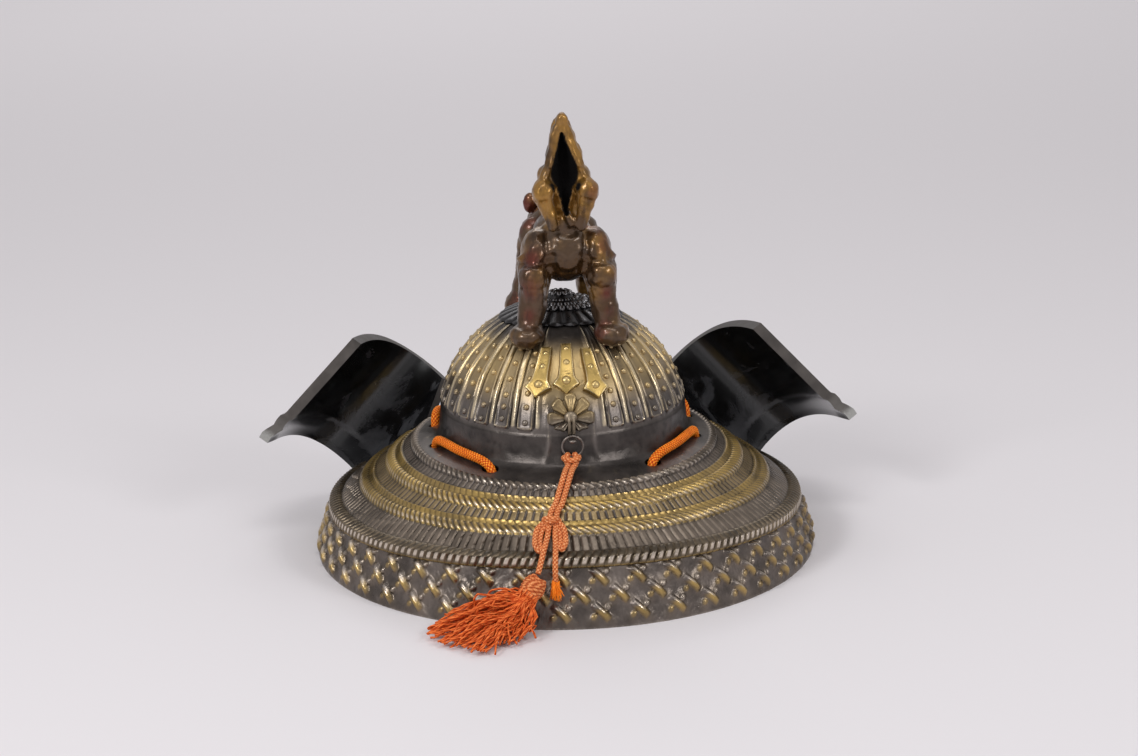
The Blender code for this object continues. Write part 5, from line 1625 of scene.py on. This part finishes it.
@dataclass
class TasselCord(Braid):
    """The twin salmon strands, their bow knot and the frayed end."""

    radius: float = 1.3
    stitch: tuple[int, float] = (4, 1.8)
    ground: float = 0.80
    relief: float = 0.23
    upper: Route = (
        (2.2, 76.3, 58.8), (3.6, 79.6, 58.0), (5.0, 85.4, 56.9),
        (7.1, 90.6, 52.6), (9.6, 97.2, 47.8), (12.2, 101.9, 44.6),
    )
    between: float = 2.9
    left_tail: Route = (
        (13.9, 111.4, 39.0), (15.2, 115.6, 35.8), (16.8, 120.4, 32.4),
        (18.2, 123.4, 28.6), (19.4, 125.5, 25.3),
    )
    right_tail: Route = (
        (10.8, 111.6, 38.8), (11.0, 116.0, 35.4), (11.4, 120.9, 32.4),
        (11.8, 124.0, 28.0), (11.9, 125.3, 21.4),
    )
    knot: Point = (12.0, 106.6, 42.6)
    loops: tuple[Route, ...] = (
        (
            (12.8, 107.0, 42.8), (15.6, 107.0, 42.0),
            (18.6, 109.4, 39.8), (19.9, 114.0, 35.9), (19.4, 117.2, 34.3),
        ),
        (
            (11.6, 107.0, 42.8), (9.0, 107.2, 42.0),
            (6.9, 109.9, 40.0), (6.5, 114.6, 36.2), (7.3, 117.4, 34.8),
        ),
    )
    hitch: tuple[Route, ...] = (
        (
            (2.4, 75.9, 58.9), (2.9, 74.2, 60.2), (2.6, 72.3, 62.2),
            (1.9, 70.6, 61.4), (1.6, 71.2, 59.2), (2.0, 74.0, 58.0),
        ),
        (
            (-0.8, 75.9, 58.9), (-1.4, 74.2, 60.2), (-1.2, 72.3, 62.2),
            (-0.6, 70.6, 61.4), (-0.2, 71.2, 59.2), (0.0, 74.0, 58.0),
        ),
        ((-2.6, 72.6, 61.4), (-1.8, 75.2, 61.2), (0.8, 76.4, 61.0), (3.4, 75.2, 61.2), (4.2, 72.6, 61.4)),
    )
    fray_top: Point = (11.8, 125.4, 20.6)
    fibres: int = 60
    seed: int = 41

    def build(self, tassel: bpy.types.Object) -> None:
        """Args:
            tassel: The tassel on the left strand's end.
        """
        salmon = [self.palette[Finish.SALMON]]
        knot = self._knot().publish("bow_knot", "salmon_cord", salmon, ["cord_knot"], 180.0)
        hitch = self._hitch().publish("ring_hitch", "salmon_cord", salmon, ["cord_hitch"], 180.0)
        frayed = self._frayed()
        right = tuple((x - self.between, y, z) for x, y, z in self.upper)
        sides = (
            ("left", self.upper + self.left_tail, "knot", [tassel, knot, hitch]),
            ("right", right + self.right_tail, "bare", [frayed]),
        )
        for side, points, far_end, carried in sides:
            path = smooth_route(points, 0.5)
            shape = Sculptor()
            shape.tube(path, 20, self._radius, self._marks)
            nodes = ("cord_strand_" + side, "cord_tail_" + side)
            piece = shape.publish("tassel_cord_" + side, "salmon_cord", salmon, nodes, 180.0)
            self._declare(piece, path, far_end=far_end, with_pieces=carried)

    def _knot(self) -> Sculptor:
        """The bow knot: two wraps and two loops."""
        shape = Sculptor()
        for tilt, reach in ((0.25, 3.2), (-0.3, 2.9)):
            ring = []
            for index in range(27):
                turn = 2 * pi * index / 24
                offset = Vector((cos(turn) * reach, sin(turn) * 1.9, sin(turn + tilt) * 1.5))
                ring.append(Vector(self.knot) + offset + UP * (tilt * 2.0))
            shape.tube(smooth_route(ring, 0.5), 16, self._radius, self._marks)
        for loop, inward in zip(self.loops, (-2.3, 2.3)):
            out = [Vector(point) for point in loop]
            back = [point + Vector((inward, -0.3, -0.6)) for point in reversed(out)]
            end = (out[-1] + back[0]) / 2 + Vector((0.0, 1.2, -1.0))
            shape.tube(smooth_route([*out, end, *back], 0.5), 20, self._radius, self._marks)
        return shape

    def _hitch(self) -> Sculptor:
        """The lark's head that holds the ring, of strands drawn tight."""
        shape = Sculptor()
        for points in self.hitch:
            path = smooth_route(points, 0.45)
            shape.tube(path, 16, lambda run, share, turn: 1.05 * self._radius(run, share, turn), self._marks)
        return shape

    def _frayed(self) -> bpy.types.Object:
        """The loosened fibres at the right strand's end."""
        draw = random.Random(self.seed)
        shape = Sculptor()
        top = Vector(self.fray_top)
        for index in range(self.fibres):
            turn = draw.uniform(0, 2 * pi)
            reach = draw.uniform(0.3, 1.4)
            start = top + Vector((cos(turn) * reach, sin(turn) * reach * 0.7, draw.uniform(-0.3, 1.4)))
            flare = 1.0 + draw.uniform(0.4, 1.6)
            fall = draw.uniform(4.0, 8.0)
            spread = (start - top) * flare
            end = Vector((top.x + spread.x, top.y + 1.2 + spread.y, top.z - fall))
            if index % 4 == 0:
                end += Vector((-1.8, 0.0, 2.6))
            bend = (start + end) / 2 + Vector((draw.uniform(-0.4, 0.4), 0.5, draw.uniform(-0.3, 0.3)))
            path = smooth_route([start, bend, end], 1.1)
            marks = (0.75, 0.0, 0.0)
            shape.tube(path, 5, lambda run, share, around: 0.36 * (1 - 0.5 * share), lambda *place: marks)
        orange = [self.palette[Finish.CHIN]]
        return shape.publish("frayed_fibres", "orange_braid", orange, ["frayed_end"], 180.0)


@dataclass
class Tassel:
    """The wrapped head and its threads, fanned down to the floor."""

    palette: Palette
    head: Point = (21.4, 128.2, 20.6)
    threads: int = 165
    thread_radius: float = 0.52
    wraps: int = 7
    seed: int = 7
    ends: tuple[tuple[Point, Point], ...] = (
        ((30.0, 127.6, 17.0), (47.0, 123.0, 8.0)), ((34.0, 127.0, 14.0), (57.0, 120.0, 4.0)),
        ((36.0, 127.0, 11.0), (64.5, 125.0, 1.5)), ((37.0, 130.0, 9.0), (66.0, 131.0, 1.5)),
        ((35.0, 132.0, 9.0), (60.0, 138.0, 1.5)), ((34.0, 133.0, 8.0), (54.0, 144.0, 1.5)),
        ((32.0, 134.0, 8.0), (49.0, 152.0, 1.5)), ((30.0, 135.0, 7.5), (42.0, 150.0, 1.5)),
        ((28.0, 134.0, 7.0), (36.0, 145.0, 1.5)), ((25.0, 132.0, 8.0), (28.0, 137.0, 1.8)),
        ((36.0, 129.0, 16.0), (52.0, 130.0, 6.0)),
    )

    def build(self) -> bpy.types.Object:
        """Build the tassel.

        Returns:
            The tassel's piece.
        """
        draw = random.Random(self.seed)
        noise.seed_set(self.seed)
        shape = Sculptor()
        centre = Vector(self.head)
        axis = Vector((0.55, 0.35, -0.72)).normalized()
        side = axis.cross(UP).normalized()
        over = side.cross(axis)
        for wrap in range(self.wraps):
            place = centre + axis * (wrap * 1.25 - 3.4)
            size = 4.6 * math.sqrt(max(0.15, 1 - ((wrap - 3.4) / 4.6) ** 2))
            ring = []
            for index in range(29):
                turn = 2 * pi * index / 26
                wobble = 0.35 * sin(turn * 3 + wrap)
                ring.append(place + side * cos(turn) * size + over * sin(turn) * size + axis * wobble)
            shape.tube(smooth_route(ring, 0.7), 10, self._wrap_radius, self._twist_marks)
        shape.ball(centre, (4.0, 4.0, 4.0), 16)
        for face in shape.bm.faces:
            face.material_index = 1
        for index in range(self.threads):
            bend, end = self.ends[index % len(self.ends)]
            turn = draw.uniform(0, 2 * pi)
            reach = 4.0 * math.sqrt(draw.uniform(0.05, 1.0))
            start = centre + axis * 2.2 + side * cos(turn) * reach + over * sin(turn) * reach
            middle = Vector(bend) + Vector((draw.gauss(0, 2.6), draw.gauss(0, 2.2), draw.gauss(0, 1.9)))
            final = Vector(end) + Vector((draw.gauss(0, 3.4), draw.gauss(0, 3.0), abs(draw.gauss(0, 1.3))))
            between = middle.lerp(final, 0.5)
            between += Vector((draw.gauss(0, 1.8), draw.gauss(0, 1.8), draw.gauss(1.0, 1.4)))
            path = [start, start + axis * 3.0, middle, between, final]
            for point in path:
                point.z = max(point.z, 0.75)
            final.x = min(final.x, 67.5)
            path = smooth_route(path, 1.5)
            for order, point in enumerate(path):
                point += noise.noise_vector(Vector((order * 0.3, index * 3.1, 0.0)))
                point.z = max(point.z, 0.62)
            shape.tube(path, 6, self._thread, self._twist_marks)
        yarns = [self.palette[Finish.THREAD], self.palette[Finish.SALMON]]
        return shape.publish("tassel_threads", "salmon_cord", yarns, ["tassel"], 180.0)

    def _wrap_radius(self, run: float, share: float, turn: float) -> float:
        """Radius of the cord wound round the head."""
        return 0.85 * (0.86 + 0.16 * braid(run, turn, 4, 1.2))

    def _thread(self, run: float, share: float, turn: float) -> float:
        """Radius of a twisted thread."""
        return self.thread_radius * (0.9 + 0.14 * sin(turn * 2 + run * 2.4))

    def _twist_marks(self, run: float, share: float, turn: float) -> Marks:
        """Marks of a twisted thread: relief rising and falling round the twist, which the cord finish turns
        into painted shade and a painted highlight.
        """
        return 0.5 + 0.4 * sin(turn * 2 + run * 2.4), 0.0, 0.0


@dataclass(frozen=True)
class SoftBox:
    """One area light."""

    name: str
    place: Point
    size: tuple[float, float]
    power: float
    aim: Point = (0.0, 0.0, 0.06)


@dataclass
class Studio:
    """Floor, lights and the camera at the photograph's place."""

    eye: Point = (0.0664, 1.1720, 0.3863)
    focal_px: float = 2604.0
    picture: tuple[int, int] = (1138, 756)
    origin_px: tuple[float, float] = (565.9, 538.2)
    roll: float = radians(1.4)
    sensor: float = 36.0
    floor_colour: Colour = (0.74, 0.715, 0.735)
    surround: Colour = (1.0, 0.975, 0.99)
    boxes: tuple[SoftBox, ...] = (
        SoftBox("left_box", (0.95, 0.85, 1.0), (0.36, 0.36), 8.5),
        SoftBox("right_box", (-0.95, 0.85, 0.9), (0.36, 0.36), 5.0),
        SoftBox("top_box", (0.0, 0.3, 1.5), (0.7, 0.4), 3.0),
        SoftBox("backdrop_box", (0.0, -2.6, 2.0), (1.6, 1.2), 17.0, (0.0, -2.4, 0.0)),
    )

    def build(self) -> None:
        """Build the stage."""
        self._camera()
        self._floor()
        self._lights()

    def _camera(self) -> None:
        """Aim the camera so that the plan's middle falls on its pixel."""
        data = bpy.data.cameras.new("camera")
        data.sensor_width = self.sensor
        data.lens = self.focal_px / self.picture[0] * self.sensor
        data.clip_start, data.clip_end = 0.05, 30.0
        eye = Vector(self.eye)
        forward = (PLAN_SHIFT * MM - eye).normalized()
        right = forward.cross(UP).normalized()
        upward = right.cross(forward)
        side = right * cos(self.roll) - upward * sin(self.roll)
        top = right * sin(self.roll) + upward * cos(self.roll)
        dx = (self.picture[0] / 2 - self.origin_px[0]) / self.focal_px
        dy = (self.origin_px[1] - self.picture[1] / 2) / self.focal_px
        aim = (forward + side * dx + top * dy).normalized()
        side = (side - aim * side.dot(aim)).normalized()
        camera = bpy.data.objects.new("camera", data)
        rotation = Matrix((side, side.cross(aim), -aim)).transposed().to_4x4()
        camera.matrix_world = Matrix.Translation(eye) @ rotation
        bpy.context.scene.collection.objects.link(camera)
        bpy.context.scene.camera = camera

    def _floor(self) -> None:
        """A wide pale floor."""
        bm = bmesh.new()
        bmesh.ops.create_grid(bm, x_segments=4, y_segments=4, size=8.0)
        material, kit, shader = new_material("pale_paper")
        kit.wire(shader, {"Base Color": self.floor_colour, "Roughness": 0.75, "Specular IOR Level": 0.25})
        write("studio_floor", bm, material)

    def _lights(self) -> None:
        """Soft boxes on both sides, one overhead and a pale surround."""
        world = bpy.data.worlds.new("pale_surround")
        world.use_nodes = True
        background = world.node_tree.nodes["Background"]
        background.inputs["Color"].default_value = (*self.surround, 1.0)
        background.inputs["Strength"].default_value = 0.5
        bpy.context.scene.world = world
        for box in self.boxes:
            data = bpy.data.lights.new(box.name, "AREA")
            data.shape = "RECTANGLE"
            data.size, data.size_y = box.size
            data.energy = box.power
            light = bpy.data.objects.new(box.name, data)
            light.location = box.place
            light.rotation_euler = (Vector(box.aim) - Vector(box.place)).to_track_quat("-Z", "Y").to_euler()
            bpy.context.scene.collection.objects.link(light)
        bpy.context.scene.view_settings.view_transform = "Standard"


def main() -> None:
    """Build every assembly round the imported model."""
    logging.basicConfig(level=logging.INFO, format="%(name)s %(message)s")
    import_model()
    Studio().build()
    shared = SharedEffects()
    palette = {finish: finish.value.material(shared) for finish in Finish}
    tassel = Tassel(palette).build()
    TasselCord(palette).build(tassel)
    ChinCord(palette).build()
    Bowl(palette).build()
    NeckGuard(palette).build()
    Turnback(palette, 1).build()
    Turnback(palette, -1).build()
    for assembly in (Peak, CrownRosette, GiltPlates, RearFittings, Figure):
        assembly(palette).build()


if __name__ == "__main__":
    main()
